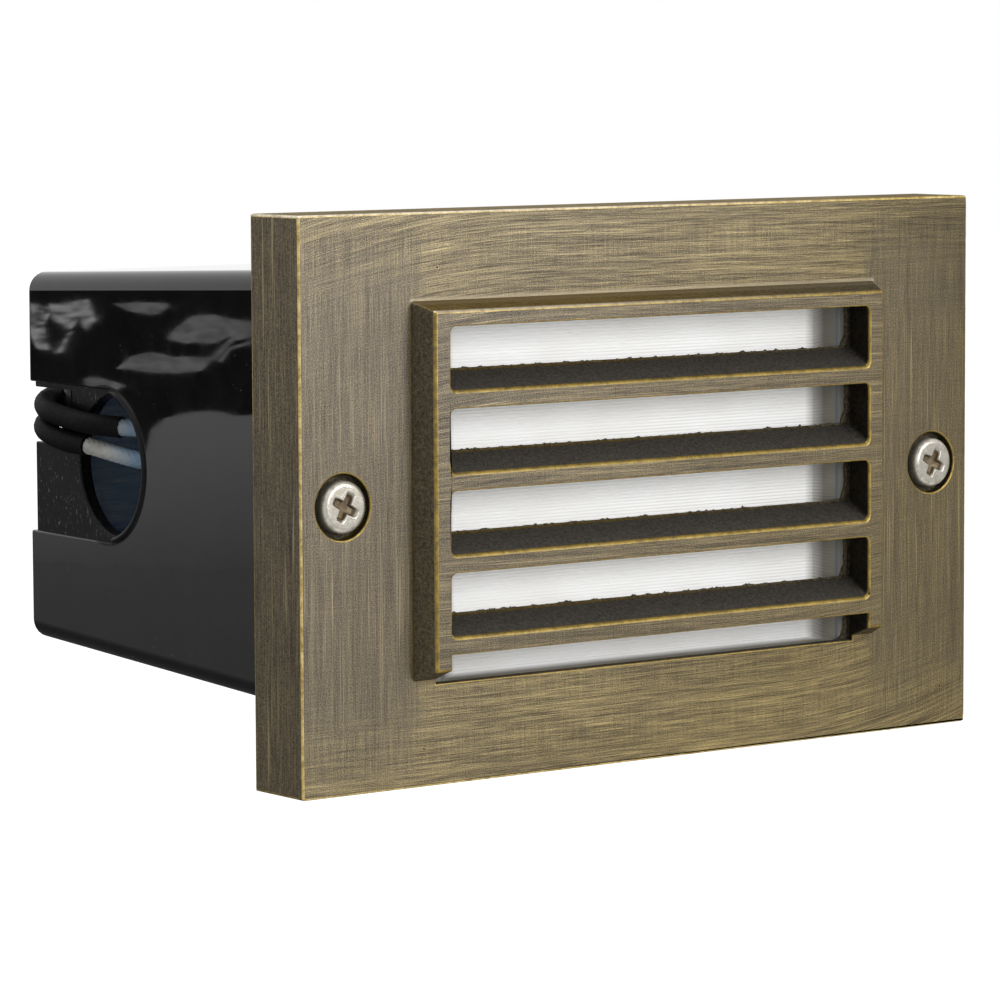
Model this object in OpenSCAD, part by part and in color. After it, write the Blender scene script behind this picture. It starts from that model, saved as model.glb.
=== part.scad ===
// Recessed step light: a cast brass louvred plate in front of a moulded box set into a wall.
// Frame: millimetres, +X right, +Y into the wall, +Z up.
// The origin is in the wall's face, behind the middle of the plate.
// "Depth" always means the distance behind the plate's front face.

/* [Faceplate] */
// Width of the plate
plate_w = 127; // [122:0.5:145]
// Height of the plate
plate_h = 83; // [80:0.5:100]
// Depth of the plate with its skirt, from its front to the wall
plate_depth = 12; // [11:0.5:14]
// Thickness of the plate's front wall
front_wall = 3; // [2.8:0.1:3.6]
// Thickness of the plate's skirt
skirt_wall = 3; // [2:0.1:3.2]
// Radius of the plate's corners
plate_corner_r = 0.5; // [0.5:0.1:2.5]

/* [Louvre] */
// Distance from the mouth of the box to the ends of the light slots
slot_inset = 7.25; // [7.1:0.05:15]
// Distance from the mouth of the box to the top and bottom of the louvre
louvre_inset = 5; // [4.7:0.05:8]
// How far the louvre sits below the middle of the plate
louvre_drop = 0.75; // [0:0.05:1]
// Number of bars
bar_count = 4; // [2:1:6]
// Height of each bar at its front
bar_t = 2.55; // [1.8:0.05:4]
// Rounding of the slots' corners
slot_corner_r = 0.9; // [0.3:0.1:2]
// How steeply the bars rise towards the back, in degrees
bar_slope = 30; // [20:1:32]
// How far the hood stands out from the plate
hood_proj = 4; // [3:0.1:5]
// Width of the hood's rim beside and above the slots, at its front
hood_rim = 2.7; // [2:0.1:3.2]
// How much wider the hood is at its foot than at its front, on each side
hood_draft = 1.6; // [0.8:0.1:2]
// Height of the opening under the last bar
bottom_gap = 4.3; // [3:0.1:4.6]

/* [Lens] */
// Thickness of the pressed glass lens
lens_t = 5.8; // [5:0.1:6.5]
// Depth of the lens's seat behind the plate's front
lens_seat = 1.2; // [0.8:0.1:1.5]
// How far the lens reaches past the opening at each side
lens_lap = 1.85; // [1.2:0.05:2]
// Depth of the dish in the lens's front
dish_depth = 2.8; // [1.5:0.1:3.5]
// Width of the dish's sloped border at the sides
dish_side = 2.9; // [1.5:0.1:4]
// Width of the dish's sloped border above and below
dish_edge = 1.3; // [0.8:0.1:1.6]
// Thickness of the lens's gasket
lens_gasket_t = 1; // [0.8:0.1:1.2]
// Thickness of the frame that holds the lens
retainer_t = 1; // [0.8:0.1:1.2]

/* [Face screws] */
// Distance from the plate's end to each screw's axis
screw_inset = 7.35; // [7.2:0.05:7.7]
// Radius of the screws' shanks
screw_r = 1.95; // [1.7:0.05:2.1]
// Radius of the screws' heads
head_r = 3.75; // [3.2:0.05:4.1]
// Height of the screws' heads
head_t = 2.2; // [1.8:0.1:2.6]
// Length of the screws under their heads
screw_l = 13; // [10:0.5:13]
// Depth of the recess that each head sits in
head_sink = 1.5; // [1:0.1:1.8]

/* [Housing] */
// Distance from the plate's end to the side of the box
side_margin = 14; // [13.9:0.1:20]
// Distance from the plate's top to the top of the box
top_margin = 8.25; // [7:0.05:12]
// How much the box narrows towards its back, at each side
side_draft = 3.5; // [2:0.1:4]
// How much the box gets lower towards its back, above and below
top_draft = 3.85; // [1:0.05:5]
// Depth of the box's back face
box_depth = 102; // [101.5:0.5:104]
// Thickness of the box's walls
box_wall = 2.4; // [2.2:0.1:2.5]
// Rounding of the box's edges along its depth
box_edge_r = 3; // [1.5:0.1:4]
// Rounding of the back face's edges
back_edge_r = 1; // [0.5:0.1:1.2]
// Thickness of the flange
flange_t = 3; // [2.5:0.1:3.5]
// Thickness of the foam gasket on the flange
foam_t = 1.5; // [1:0.1:2]

/* [Wire entry] */
// Diameter of the wire hole
entry_d = 22.3; // [18:0.1:23]
// Depth of the wire hole's middle
entry_depth = 77.6; // [76:0.1:79]
// Height of the channel from the hole to the back
channel_h = 24; // [23.2:0.2:27]
// How far the channel is sunk into the wall at the back
channel_sink = 1.3; // [1:0.1:1.9]
// Thickness of the wall under the channel
channel_wall = 2.2; // [2:0.1:2.6]

/* [Reflector] */
// Space between the mouth of the box and the side of the reflector tray
tray_side = 10.1; // [9.6:0.1:14]
// Space between the mouth of the box and the top of the reflector tray
tray_top = 4.85; // [4.4:0.05:8]
// Depth of the reflector tray
tray_depth = 30; // [28:0.5:32]
// Thickness of the sheet
sheet_t = 0.8; // [0.6:0.1:1]

/* [Lamp] */
// Radius of the glass capsule
capsule_r = 4.75; // [4:0.05:5.5]
// Length of the glass capsule
capsule_l = 25; // [20:0.5:30]
// Distance between the lamp's two pins
pin_pitch = 4; // [3.6:0.1:4.4]
// Radius of the pins
pin_r = 0.35; // [0.3:0.05:0.5]
// Length of the pins
pin_l = 7; // [5:0.5:8]

/* [Leads] */
// Diameter of the black sleeved leads
lead_d = 3.4; // [3:0.1:3.5]
// Diameter of the white braided leads
braid_d = 2.8; // [2.4:0.1:3]
// Radius of the coil of the upper lead
coil_r = 20.8; // [20.6:0.1:22]
// Distance between the two leads' coils, middle to middle
coil_step = 3.9; // [3.8:0.05:4]
// Distance between the loops of one coil
coil_pitch = 4.2; // [4.1:0.05:4.6]

/* [Hidden] */
$fn = 48;

// Clearances
fit_gap = 0.3;
screw_play = 0.35;
running_gap = 0.05;
eps = 0.01;

// Plate and hood
box_front_w = plate_w - 2 * side_margin;
box_front_h = plate_h - 2 * top_margin;
box_back_w = box_front_w - 2 * side_draft;
box_back_h = box_front_h - 2 * top_draft;
mouth_w = box_front_w - 2 * box_wall;
mouth_h = box_front_h - 2 * box_wall;
screw_x = plate_w / 2 - screw_inset;
head_hole_r = head_r + 0.95;
recess_reach = 0.56 * head_r;
recess_t = 0.27 * head_r;
recess_deep = 0.5 * head_t;
skirt_in_w = plate_w - 2 * skirt_wall;
skirt_in_h = plate_h - 2 * skirt_wall;
rise = tan(bar_slope);
slot_w = mouth_w - 2 * slot_inset;
louvre_h = mouth_h - 2 * louvre_inset;
slot_pitch = (louvre_h - bottom_gap) / bar_count;
slot_h = slot_pitch - bar_t;
slot_top = louvre_h / 2 - louvre_drop;
last_top = slot_top - bar_count * slot_pitch;
opening_bottom = last_top - bottom_gap;
hood_half = slot_w / 2 + hood_rim;
hood_top = slot_top + hood_rim - 0.4;
hood_end = last_top - 2.1;

// Lens and what holds it
lens_w = slot_w + 2 * lens_lap;
lens_bottom = opening_bottom - lens_lap - 0.85;
lens_top = slot_top + rise * (hood_proj + lens_seat) + 0.7;
lens_h = lens_top - lens_bottom;
lens_z = (lens_top + lens_bottom) / 2;
lens_back = lens_seat + lens_t;
dish_rim = lens_lap + 1.75;
dish_bottom_rim = 2;
gasket_ring = 4;
retainer_d = lens_back + lens_gasket_t;
stud_r = 2.2;
stud_x = lens_w / 2 + fit_gap + stud_r + 0.1;
stud_z = 18;
stud_hole_r = 1;
small_head_r = 2.1;
small_head_t = 1.4;
retainer_back = retainer_d + retainer_t;

// Flange and box
flange_d = front_wall + foam_t;
flange_back = flange_d + flange_t;
flange_w = skirt_in_w - 2 * fit_gap;
flange_h = skirt_in_h - 2 * fit_gap;
back_wall_t = 2.6;
box_in_depth = box_depth - back_wall_t;
insert_r = 3;
insert_l = 9;
insert_boss_r = 4;
insert_boss_l = flange_d + 11.4;
boss_bore_end = insert_boss_l - 0.9;
side_slope = (box_front_w - box_back_w) / 2 / (box_depth - flange_back);
function side_x(d) = box_front_w / 2 - side_slope * (d - flange_back);

// Wire entry
entry_r = entry_d / 2;
channel_start = entry_depth - 1.4;
channel_x = box_back_w / 2 - channel_sink;
entry_pad = channel_x - channel_wall;
groove_low = 2.2;
groove_high = 11;

// Reflector and lamp
tray_d = retainer_back + small_head_t + 2.6;
tray_w = mouth_w - 2 * tray_side;
tray_h = mouth_h - 2 * tray_top;
tray_screw_x = tray_w / 2 + 6;
tray_boss_r = 3.2;
tray_boss_l = 14;
tray_screw_r = 1.2;
tray_head_r = 2.7;
tray_head_t = 2;
tray_back = tray_d + tray_depth;
tray_rim = 3;
lamp_d = tray_d + 14;
lamp_z = 2;
arm_x = tray_w / 2 - 13;
arm_t = 1;
socket_l = 12;
socket_front = arm_x - socket_l;
socket_depth = 9;
socket_h = 10;
contact_l = 5.4;
nut_across = 2.5;
nut_t = 2;
bracket_foot = 16;
tray_ear_r = 3.2;
contact_r = 1.15;
lug_t = 3;
lug_screw = socket_depth / 2 + small_head_r + 0.3;
lug_reach = lug_screw + small_head_r + 0.3;
m25_r = 1.2;
capsule_gap = 0.6;
capsule_x = socket_front - capsule_gap;
glass_t = 0.8;
pinch_l = 5;
pin_root = 2;
rivet_at = [arm_x - 12, arm_x - 5];
rivet_r = 1.6;
rivet_head_r = 2.8;
rivet_head_t = 0.8;
bracket_d = tray_back - sheet_t;
bracket_half = 6;
bush_x = arm_x + 6.5;
bush_r = 4.5;
bush_bore = 3.9;

// Leads: each list holds [across, depth, up]; the coils' middle is the same for both
coil_mid = [-14, 106, -6.4];
coil_in = 105;
upper_out = 90;
lower_out = 60;
tail_upper = 15.5;
tail_lower = 19.5;
nut_l = 18;
nut_r = 4.3;
nut_bore = 5;
function inner_route(z, drop) = [
    [arm_x, lamp_d, z], [arm_x + 3.5, lamp_d + 0.6, z], [bush_x, lamp_d + 5.5, z],
    [bush_x, tray_back - sheet_t, z], [bush_x - 0.5, tray_back + 7, z],
    [bush_x - 7.5, tray_back + 11.5, z], [bush_x - 24.5, tray_back + 13, z + 0.2],
    [-14, entry_depth - 18.6, z + drop / 3], [-31, entry_depth - 12.1, z + 0.7 * drop]
];
hole_x = side_x(entry_depth);
upper_hole_point = [3.6 - hole_x, entry_depth + 0.9, 5.8];
lower_hole_point = [1.2 - hole_x, entry_depth + 7.1, 2.7];
upper_inner_route = concat(
    inner_route(lamp_z + 2.2, 1.6), [[7.3 - hole_x, entry_depth - 5.1, 5.7], upper_hole_point]
);
lower_inner_route = concat(
    inner_route(lamp_z - 2.2, 0.5), [[6.2 - hole_x, entry_depth - 3.6, 0.5], lower_hole_point]
);
upper_route = [
    upper_hole_point, [-46, 83.4, 6.2], [-46.8, 88, 6.8], [-46.6, 95, 7.8],
    [-42.6, 101.8, 8.9], [-35.5, 105.5, 9.9], [-27, 106, 11.5]
];
lower_route = [
    lower_hole_point, [-46.8, 89.4, 3.1], [-46.6, 95.5, 4.2],
    [-42.6, 101.8, 5.3], [-35.5, 105.5, 6.3], [-27, 106, 7.8]
];
guide_r = 14;
guide = [guide_r - channel_x, box_depth - 12];

// Basic shapes: everything below is placed by its depth behind the plate's front
module at_depth(d) {
    translate([0, d - plate_depth, 0]) children();
}

module rounded_rect(w, h, r) {
    square([w - 2 * r, h], center = true);
    square([w, h - 2 * r], center = true);
    for (x = [-1, 1])
        for (z = [-1, 1])
            translate([x * (w / 2 - r), z * (h / 2 - r)]) circle(r);
}

// A flat piece across the light, from one depth to another
module slab(d0, d1) {
    at_depth(d1) rotate([90, 0, 0]) linear_extrude(d1 - d0) children();
}

// A round rod into the wall
module rod(x, z, r, d0, d1) {
    at_depth(d0) translate([x, 0, z]) rotate([-90, 0, 0]) cylinder(r = r, h = d1 - d0);
}

// A round rod across the light, in the lamp's direction
module cross_rod(x0, x1, d, z, r) {
    at_depth(d) translate([x0, 0, z]) rotate([0, 90, 0]) cylinder(r = r, h = x1 - x0);
}

// A block given by its least and greatest corners, with depth as the middle number
module block(lo, hi) {
    at_depth(lo[1]) translate([lo[0], 0, lo[2]]) cube([hi[0] - lo[0], hi[1] - lo[1], hi[2] - lo[2]]);
}

// A solid that tapers from rectangle a at depth da to rectangle b at depth db
// Each rectangle is [left, right, bottom, top]
module taper(a, da, b, db) {
    points = [
        for (e = [[a, da], [b, db]])
            each [
                [e[0][0], e[1], e[0][2]], [e[0][1], e[1], e[0][2]],
                [e[0][1], e[1], e[0][3]], [e[0][0], e[1], e[0][3]]
            ]
    ];
    faces = [
        [0, 3, 2, 1], [4, 5, 6, 7], [0, 1, 5, 4], [1, 2, 6, 5], [2, 3, 7, 6], [3, 0, 4, 7]
    ];
    at_depth(0) polyhedron(points, faces);
}

// A box that tapers along its depth, with rounded edges along it and a rounded back
function corner_ring(w, h, r, d, steps) = [
    for (q = [0 : 3], k = [0 : steps])
        let (a = 90 * (q + k / steps), sx = q == 0 || q == 3 ? 1 : -1, sz = q < 2 ? 1 : -1)
        [sx * (w / 2 - r) + r * cos(a), d, sz * (h / 2 - r) + r * sin(a)]
];
module tapered_box(w0, h0, d0, w1, h1, d1, r, edge, steps) {
    cuts = [
        [d0, 0],
        for (k = [0 : steps]) [d1 - edge * (1 - sin(90 * k / steps)), edge * (1 - cos(90 * k / steps))]
    ];
    rings = [
        for (c = cuts)
            let (t = (c[0] - d0) / (d1 - d0))
            corner_ring(
                w0 + t * (w1 - w0) - 2 * c[1], h0 + t * (h1 - h0) - 2 * c[1], r - c[1], c[0], steps
            )
    ];
    n = len(rings[0]);
    last = len(rings) - 1;
    faces = [
        [for (j = [n - 1 : -1 : 0]) j],
        [for (j = [0 : n - 1]) last * n + j],
        for (i = [0 : last - 1], j = [0 : n - 1])
            let (k = (j + 1) % n)
            [i * n + k, (i + 1) * n + k, (i + 1) * n + j, i * n + j]
    ];
    at_depth(0) polyhedron([for (p = rings) each p], faces);
}

// Sweeps: a smooth line through the chosen points and a tube along it
function unit(v) = v / norm(v);
function spline_at(a, b, c, d, t) =
    0.5 * (2 * b + (c - a) * t + (2 * a - 5 * b + 4 * c - d) * t * t
    + (3 * b - a - 3 * c + d) * t * t * t);
function smooth_line(p, steps) = [
    for (i = [0 : len(p) - 2])
        for (s = [0 : steps - 1])
            spline_at(
                i == 0 ? 2 * p[0] - p[1] : p[i - 1], p[i], p[i + 1],
                i == len(p) - 2 ? 2 * p[i + 1] - p[i] : p[i + 2], s / steps
            ),
    p[len(p) - 1]
];
function direction(p, i) =
    i == 0 ? unit(p[1] - p[0])
    : i == len(p) - 1 ? unit(p[i] - p[i - 1])
    : unit(p[i + 1] - p[i - 1]);

module tube(p, r, sides, side_on) {
    n = len(p);
    points = [
        for (i = [0 : n - 1])
            let (t = direction(p, i), u = unit(cross(t, side_on)), v = cross(t, u))
            for (j = [0 : sides - 1])
                p[i] + r * (cos(360 * j / sides) * u + sin(360 * j / sides) * v)
    ];
    faces = [
        [for (j = [0 : sides - 1]) j],
        [for (j = [sides - 1 : -1 : 0]) (n - 1) * sides + j],
        for (i = [0 : n - 2])
            for (j = [0 : sides - 1])
                let (k = (j + 1) % sides)
                each [
                    [i * sides + j, (i + 1) * sides + j, (i + 1) * sides + k],
                    [i * sides + j, (i + 1) * sides + k, i * sides + k]
                ]
    ];
    at_depth(0) polyhedron(points, faces);
}

// Coils: a loop that drifts backwards, then a straight tail
function coil_point(r, a) = [
    coil_mid[0] + r * cos(a), coil_mid[1] + coil_pitch * (coil_in - a) / 360, coil_mid[2] + r * sin(a)
];
function coil_turn(out) = coil_in - out + 360;
function coil_heading(out) = [sin(out), 0, -cos(out)];
function coil_line(r, out, tail) =
    let (rings = round(24 * coil_turn(out) / 360), last = coil_point(r, out - 360))
    [
        for (i = [0 : rings]) coil_point(r, coil_in - coil_turn(out) * i / rings),
        for (s = [0.15, 0.6, 1]) last + s * (tail + nut_bore) * coil_heading(out)
    ];
function least_gap(p, d) = min([
    for (i = [0 : len(p) - 1])
        for (j = [i + 9 : 1 : len(p) - 1])
            norm(p[i] - p[j]) - d
]);
lower_coil_r = coil_r - coil_step;
upper_coil = coil_line(coil_r, upper_out, tail_upper);
lower_coil = coil_line(lower_coil_r, lower_out, tail_lower);
echo(upper_coil_gap = least_gap(upper_coil, lead_d), lower_coil_gap = least_gap(lower_coil, lead_d));
// The free stretches end on the coils' first points, in the coils' own direction
function lead_line(route, r) = smooth_line(
    concat(route, [
        coil_point(r, coil_in) - lead_d * coil_heading(coil_in), coil_point(r, coil_in)
    ]), 2);

module slot_void(top) {
    at_depth(-hood_proj) translate([0, 0, top - slot_h / 2]) rotate([bar_slope, 0, 0])
        translate([0, 8.6, 0]) rotate([90, 0, 0]) linear_extrude(12)
            rounded_rect(slot_w, slot_h * cos(bar_slope), slot_corner_r);
}

module bottom_void() {
    d0 = -hood_proj - 1;
    d1 = lens_seat + eps;
    rotate([90, 0, 90]) translate([0, 0, -slot_w / 2]) linear_extrude(slot_w)
        polygon([
            [d0 - plate_depth, last_top - rise],
            [d1 - plate_depth, last_top + rise * (d1 + hood_proj)],
            [d1 - plate_depth, opening_bottom],
            [d0 - plate_depth, opening_bottom]
        ]);
}

module faceplate() {
    color([0.46, 0.41, 0.3])
    difference() {
        union() {
            difference() {
                slab(0, plate_depth) rounded_rect(plate_w, plate_h, plate_corner_r);
                slab(front_wall, plate_depth + 1) rounded_rect(skirt_in_w, skirt_in_h, plate_corner_r);
            }
            taper(
                [-hood_half, hood_half, hood_end, hood_top], -hood_proj,
                [-hood_half - hood_draft, hood_half + hood_draft, hood_end - 1.6, hood_top + 1.4], 0
            );
            for (x = [-stud_x, stud_x])
                for (z = [-stud_z, stud_z])
                    rod(x, z + lens_z, stud_r, front_wall - 1, retainer_d);
        }
        for (i = [0 : bar_count - 1]) slot_void(slot_top - i * slot_pitch);
        bottom_void();
        translate([0, 0, lens_z])
            slab(lens_seat, front_wall + eps) rounded_rect(lens_w + 2 * fit_gap, lens_h + 2 * fit_gap, 1.5);
        for (x = [-screw_x, screw_x]) {
            rod(x, 0, head_hole_r, -1, head_sink);
            rod(x, 0, screw_r + screw_play, 0, front_wall + 1);
        }
        for (x = [-stud_x, stud_x])
            for (z = [-stud_z, stud_z])
                rod(x, z + lens_z, stud_hole_r, front_wall + 0.6, retainer_d + 1);
    }
}

module lens() {
    half = lens_w / 2 - dish_rim;
    low = lens_bottom + dish_bottom_rim;
    high = lens_top - dish_bottom_rim;
    color([0.93, 0.95, 0.93])
    difference() {
        translate([0, 0, lens_z]) slab(lens_seat, lens_back) rounded_rect(lens_w, lens_h, 1.2);
        taper(
            [-half - dish_side / dish_depth, half + dish_side / dish_depth,
             low - dish_edge / dish_depth, high + dish_edge / dish_depth], lens_seat - 1,
            [-half + dish_side, half - dish_side, low + dish_edge, high - dish_edge],
            lens_seat + dish_depth
        );
    }
}

module ring_plate(d0, d1, w, h, band, r) {
    translate([0, 0, lens_z])
        slab(d0, d1)
            difference() {
                rounded_rect(w, h, r);
                rounded_rect(w - 2 * band, h - 2 * band, r / 2);
            }
}

module lens_gasket() {
    color([0.85, 0.85, 0.83]) ring_plate(lens_back, retainer_d, lens_w, lens_h, gasket_ring, 1.2);
}

module lens_retainer() {
    color([0.7, 0.7, 0.72])
    difference() {
        union() {
            ring_plate(retainer_d, retainer_back, lens_w, lens_h, gasket_ring, 1.2);
            for (x = [-stud_x, stud_x])
                for (z = [-stud_z, stud_z])
                    translate([x - sign(x) * 1.5, 0, z + lens_z])
                        slab(retainer_d, retainer_back) square([2 * stud_r + 3, 2 * stud_r + 1], center = true);
        }
        for (x = [-stud_x, stud_x])
            for (z = [-stud_z, stud_z])
                rod(x, z + lens_z, stud_hole_r + fit_gap, retainer_d - 1, retainer_back + 1);
    }
}

module retainer_screws() {
    color([0.75, 0.75, 0.77])
    for (x = [-stud_x, stud_x])
        for (z = [-stud_z, stud_z]) {
            rod(x, z + lens_z, small_head_r, retainer_back, retainer_back + small_head_t);
            rod(x, z + lens_z, stud_hole_r, front_wall + 1.2, retainer_back + eps);
        }
}

module plate_gasket() {
    color([0.08, 0.08, 0.08])
    difference() {
        slab(front_wall, flange_d) rounded_rect(flange_w - 1, flange_h - 1, 2);
        slab(front_wall - 1, flange_d + 1) rounded_rect(mouth_w + 0.8, mouth_h + 0.8, 1);
        for (x = [-screw_x, screw_x]) rod(x, 0, insert_r + fit_gap, front_wall - 1, flange_d + 1);
    }
}

// Pan head screw with a cross recess, turned by an angle
module face_screw(x, turn) {
    top = head_sink - head_t;
    color([0.74, 0.72, 0.68])
    difference() {
        union() {
            rod(x, 0, head_r, top, head_sink);
            rod(x, 0, screw_r, head_sink - eps, head_sink + screw_l);
        }
        for (a = [0, 90])
            translate([x, 0, 0]) rotate([0, turn + a, 0])
                block([-recess_reach, top - 1, -recess_t / 2], [recess_reach, top + recess_deep, recess_t / 2]);
    }
}

module left_face_screw() { face_screw(-screw_x, 28); }
module right_face_screw() { face_screw(screw_x, 25); }

module housing() {
    pad_start = channel_start - 12;
    color([0.05, 0.05, 0.055])
    difference() {
        union() {
            difference() {
                union() {
                    slab(flange_d, flange_back) rounded_rect(flange_w, flange_h, 2);
                    tapered_box(
                        box_front_w, box_front_h, flange_back,
                        box_back_w, box_back_h, box_depth, box_edge_r, back_edge_r, 6
                    );
                    for (x = [-screw_x, screw_x]) rod(x, 0, insert_boss_r, flange_d, insert_boss_l);
                }
                tapered_box(
                    mouth_w, mouth_h, flange_d - 2,
                    box_back_w - 2 * box_wall, box_back_h - 2 * box_wall, box_in_depth, 1, 0.7, 3
                );
            }
            for (x = [-tray_screw_x, tray_screw_x]) {
                rod(x, 0, tray_boss_r, tray_d + sheet_t, tray_d + sheet_t + tray_boss_l);
                block(
                    [min(x, sign(x) * (side_x(tray_d) - box_wall / 2)), tray_d + sheet_t, -1.5],
                    [max(x, sign(x) * (side_x(tray_d) - box_wall / 2)), tray_d + sheet_t + tray_boss_l, 1.5]
                );
            }
            // Thicker wall round the wire hole and behind the channel
            cross_rod(-side_x(entry_depth + 14), -entry_pad, entry_depth, 0, entry_r + 2.8);
            at_depth(0) translate([0, 0, -channel_h / 2 - 2]) linear_extrude(channel_h + 4)
                polygon([
                    [-side_x(pad_start) + 1.2, pad_start],
                    [-side_x(pad_start) + box_wall, pad_start],
                    [-entry_pad, pad_start + 8],
                    [-entry_pad, box_in_depth + 0.5],
                    [-channel_x, box_in_depth + 0.5]
                ]);
            // Wall behind the groove that leads the wires round the back corner
            intersection() {
                block(
                    [-channel_x - 0.5, guide[1] - 1, groove_low - 2],
                    [-34, box_in_depth + 0.5, groove_high + 2]
                );
                difference() {
                    block([-60, guide[1] - 2, -20], [-30, box_depth, 20]);
                    at_depth(guide[1]) translate([guide[0], 0, -30]) cylinder(r = guide_r - 2.2, h = 60);
                }
            }
        }
        cross_rod(-60, -30, entry_depth, 0, entry_r);
        // Channel from the hole to the back
        at_depth(0) translate([0, 0, -channel_h / 2]) linear_extrude(channel_h)
            polygon([
                [-60, channel_start], [-channel_x, channel_start],
                [-channel_x, box_depth + 4], [-60, box_depth + 4]
            ]);
        // Groove for the leads, round in plan
        difference() {
            block([-60, guide[1], groove_low], [-30, box_depth + 2, groove_high]);
            at_depth(guide[1]) translate([guide[0], 0, -30]) cylinder(r = guide_r, h = 60);
        }
        for (x = [-screw_x, screw_x]) {
            rod(x, 0, insert_r, flange_d - 1, flange_d + insert_l);
            rod(x, 0, screw_r + 0.15, flange_d, boss_bore_end);
        }
        for (x = [-tray_screw_x, tray_screw_x])
            rod(x, 0, tray_screw_r, tray_d, tray_d + sheet_t + tray_boss_l - 3);
    }
}

module threaded_inserts() {
    color([0.78, 0.62, 0.3])
    for (x = [-screw_x, screw_x])
        difference() {
            rod(x, 0, insert_r, flange_d, flange_d + insert_l);
            rod(x, 0, screw_r + running_gap, flange_d - 1, flange_d + insert_l + 1);
        }
}

module reflector() {
    color([0.9, 0.9, 0.88])
    difference() {
        union() {
            slab(tray_d, tray_back) rounded_rect(tray_w, tray_h, 2);
            slab(tray_d, tray_d + sheet_t) rounded_rect(tray_w + 2 * tray_rim, tray_h + 2 * tray_rim, 2);
            slab(tray_d, tray_d + sheet_t) rounded_rect(2 * (tray_screw_x + tray_ear_r), 3 * tray_ear_r, 2);
        }
        slab(tray_d - 1, tray_back - sheet_t) rounded_rect(tray_w - 2 * sheet_t, tray_h - 2 * sheet_t, 1.2);
        for (x = [-tray_screw_x, tray_screw_x]) rod(x, 0, tray_screw_r + fit_gap, tray_d - 1, tray_d + 2);
        rod(bush_x, lamp_z, bush_r, tray_back - 2, tray_back + 1);
        for (x = rivet_at) rod(x, lamp_z, rivet_r, tray_back - 2, tray_back + 1);
    }
}

module reflector_screws() {
    color([0.75, 0.75, 0.77])
    for (x = [-tray_screw_x, tray_screw_x]) {
        rod(x, 0, tray_head_r, tray_d - tray_head_t, tray_d);
        rod(x, 0, tray_screw_r, tray_d - eps, tray_d + sheet_t + 9);
    }
}

module socket_bracket() {
    color([0.62, 0.63, 0.65])
    difference() {
        union() {
            block(
                [arm_x - bracket_foot, bracket_d - arm_t, lamp_z - bracket_half],
                [arm_x + arm_t, bracket_d, lamp_z + bracket_half]
            );
            block(
                [arm_x, lamp_d - lug_reach, lamp_z - bracket_half],
                [arm_x + arm_t, bracket_d, lamp_z + bracket_half]
            );
        }
        cross_rod(arm_x - 1, arm_x + 2, lamp_d, lamp_z, 4.2);
        for (s = [-1, 1]) cross_rod(arm_x - 1, arm_x + 2, lamp_d + s * lug_screw, lamp_z, m25_r + 0.1);
        for (x = rivet_at) rod(x, lamp_z, rivet_r, bracket_d - 2, bracket_d + 1);
    }
}

module bracket_rivets() {
    color([0.7, 0.7, 0.7])
    for (x = rivet_at) {
        rod(x, lamp_z, rivet_head_r, bracket_d - arm_t - rivet_head_t, bracket_d - arm_t);
        rod(x, lamp_z, rivet_r, bracket_d - arm_t - eps, tray_back + eps);
        rod(x, lamp_z, rivet_head_r - 0.4, tray_back, tray_back + rivet_head_t);
    }
}

module lamp_socket() {
    color([0.92, 0.9, 0.84])
    difference() {
        union() {
            block(
                [socket_front, lamp_d - socket_depth / 2, lamp_z - socket_h / 2],
                [arm_x, lamp_d + socket_depth / 2, lamp_z + socket_h / 2]
            );
            block([arm_x - lug_t, lamp_d - lug_reach, lamp_z - 4], [arm_x, lamp_d + lug_reach, lamp_z + 4]);
        }
        for (s = [-1, 1]) {
            cross_rod(socket_front - 1, arm_x + 1, lamp_d, lamp_z + s * pin_pitch / 2, pin_r + running_gap);
            cross_rod(arm_x - contact_l, arm_x + 1, lamp_d, lamp_z + s * pin_pitch / 2, contact_r);
            cross_rod(arm_x - lug_t - 1, arm_x + 1, lamp_d + s * lug_screw, lamp_z, m25_r + 0.1);
        }
    }
}

module socket_contacts() {
    color([0.8, 0.68, 0.35])
    for (s = [-1, 1])
        cross_rod(arm_x - contact_l, arm_x - 0.1, lamp_d, lamp_z + s * pin_pitch / 2, contact_r);
}

module socket_screws() {
    color([0.75, 0.75, 0.77])
    for (s = [-1, 1]) {
        cross_rod(arm_x - lug_t - small_head_t, arm_x - lug_t, lamp_d + s * lug_screw, lamp_z, small_head_r);
        cross_rod(arm_x - lug_t - eps, arm_x + arm_t + 1.2 * nut_t, lamp_d + s * lug_screw, lamp_z, m25_r);
    }
}

module socket_nuts() {
    color([0.7, 0.7, 0.72])
    for (s = [-1, 1])
        difference() {
            at_depth(lamp_d + s * lug_screw) translate([arm_x + arm_t, 0, lamp_z]) rotate([0, 90, 0])
                cylinder(r = nut_across, h = nut_t, $fn = 6);
            cross_rod(arm_x, arm_x + 4, lamp_d + s * lug_screw, lamp_z, m25_r);
        }
}

module lamp_capsule() {
    color([0.9, 0.93, 0.95])
    at_depth(lamp_d) translate([capsule_x, 0, lamp_z]) rotate([0, -90, 0])
        difference() {
            union() {
                cylinder(r = capsule_r, h = capsule_l - capsule_r);
                translate([0, 0, capsule_l - capsule_r]) sphere(capsule_r);
            }
            translate([0, 0, pinch_l]) cylinder(r = capsule_r - glass_t, h = capsule_l - capsule_r - pinch_l);
            translate([0, 0, capsule_l - capsule_r]) sphere(capsule_r - glass_t);
            for (s = [-1, 1]) translate([s * pin_pitch / 2, 0, -1]) cylinder(r = pin_r, h = pin_root + 1);
        }
}

module lamp_pins() {
    color([0.8, 0.8, 0.78])
    for (s = [-1, 1])
        cross_rod(capsule_x - pin_root, capsule_x + pin_l, lamp_d, lamp_z + s * pin_pitch / 2, pin_r);
}

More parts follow.
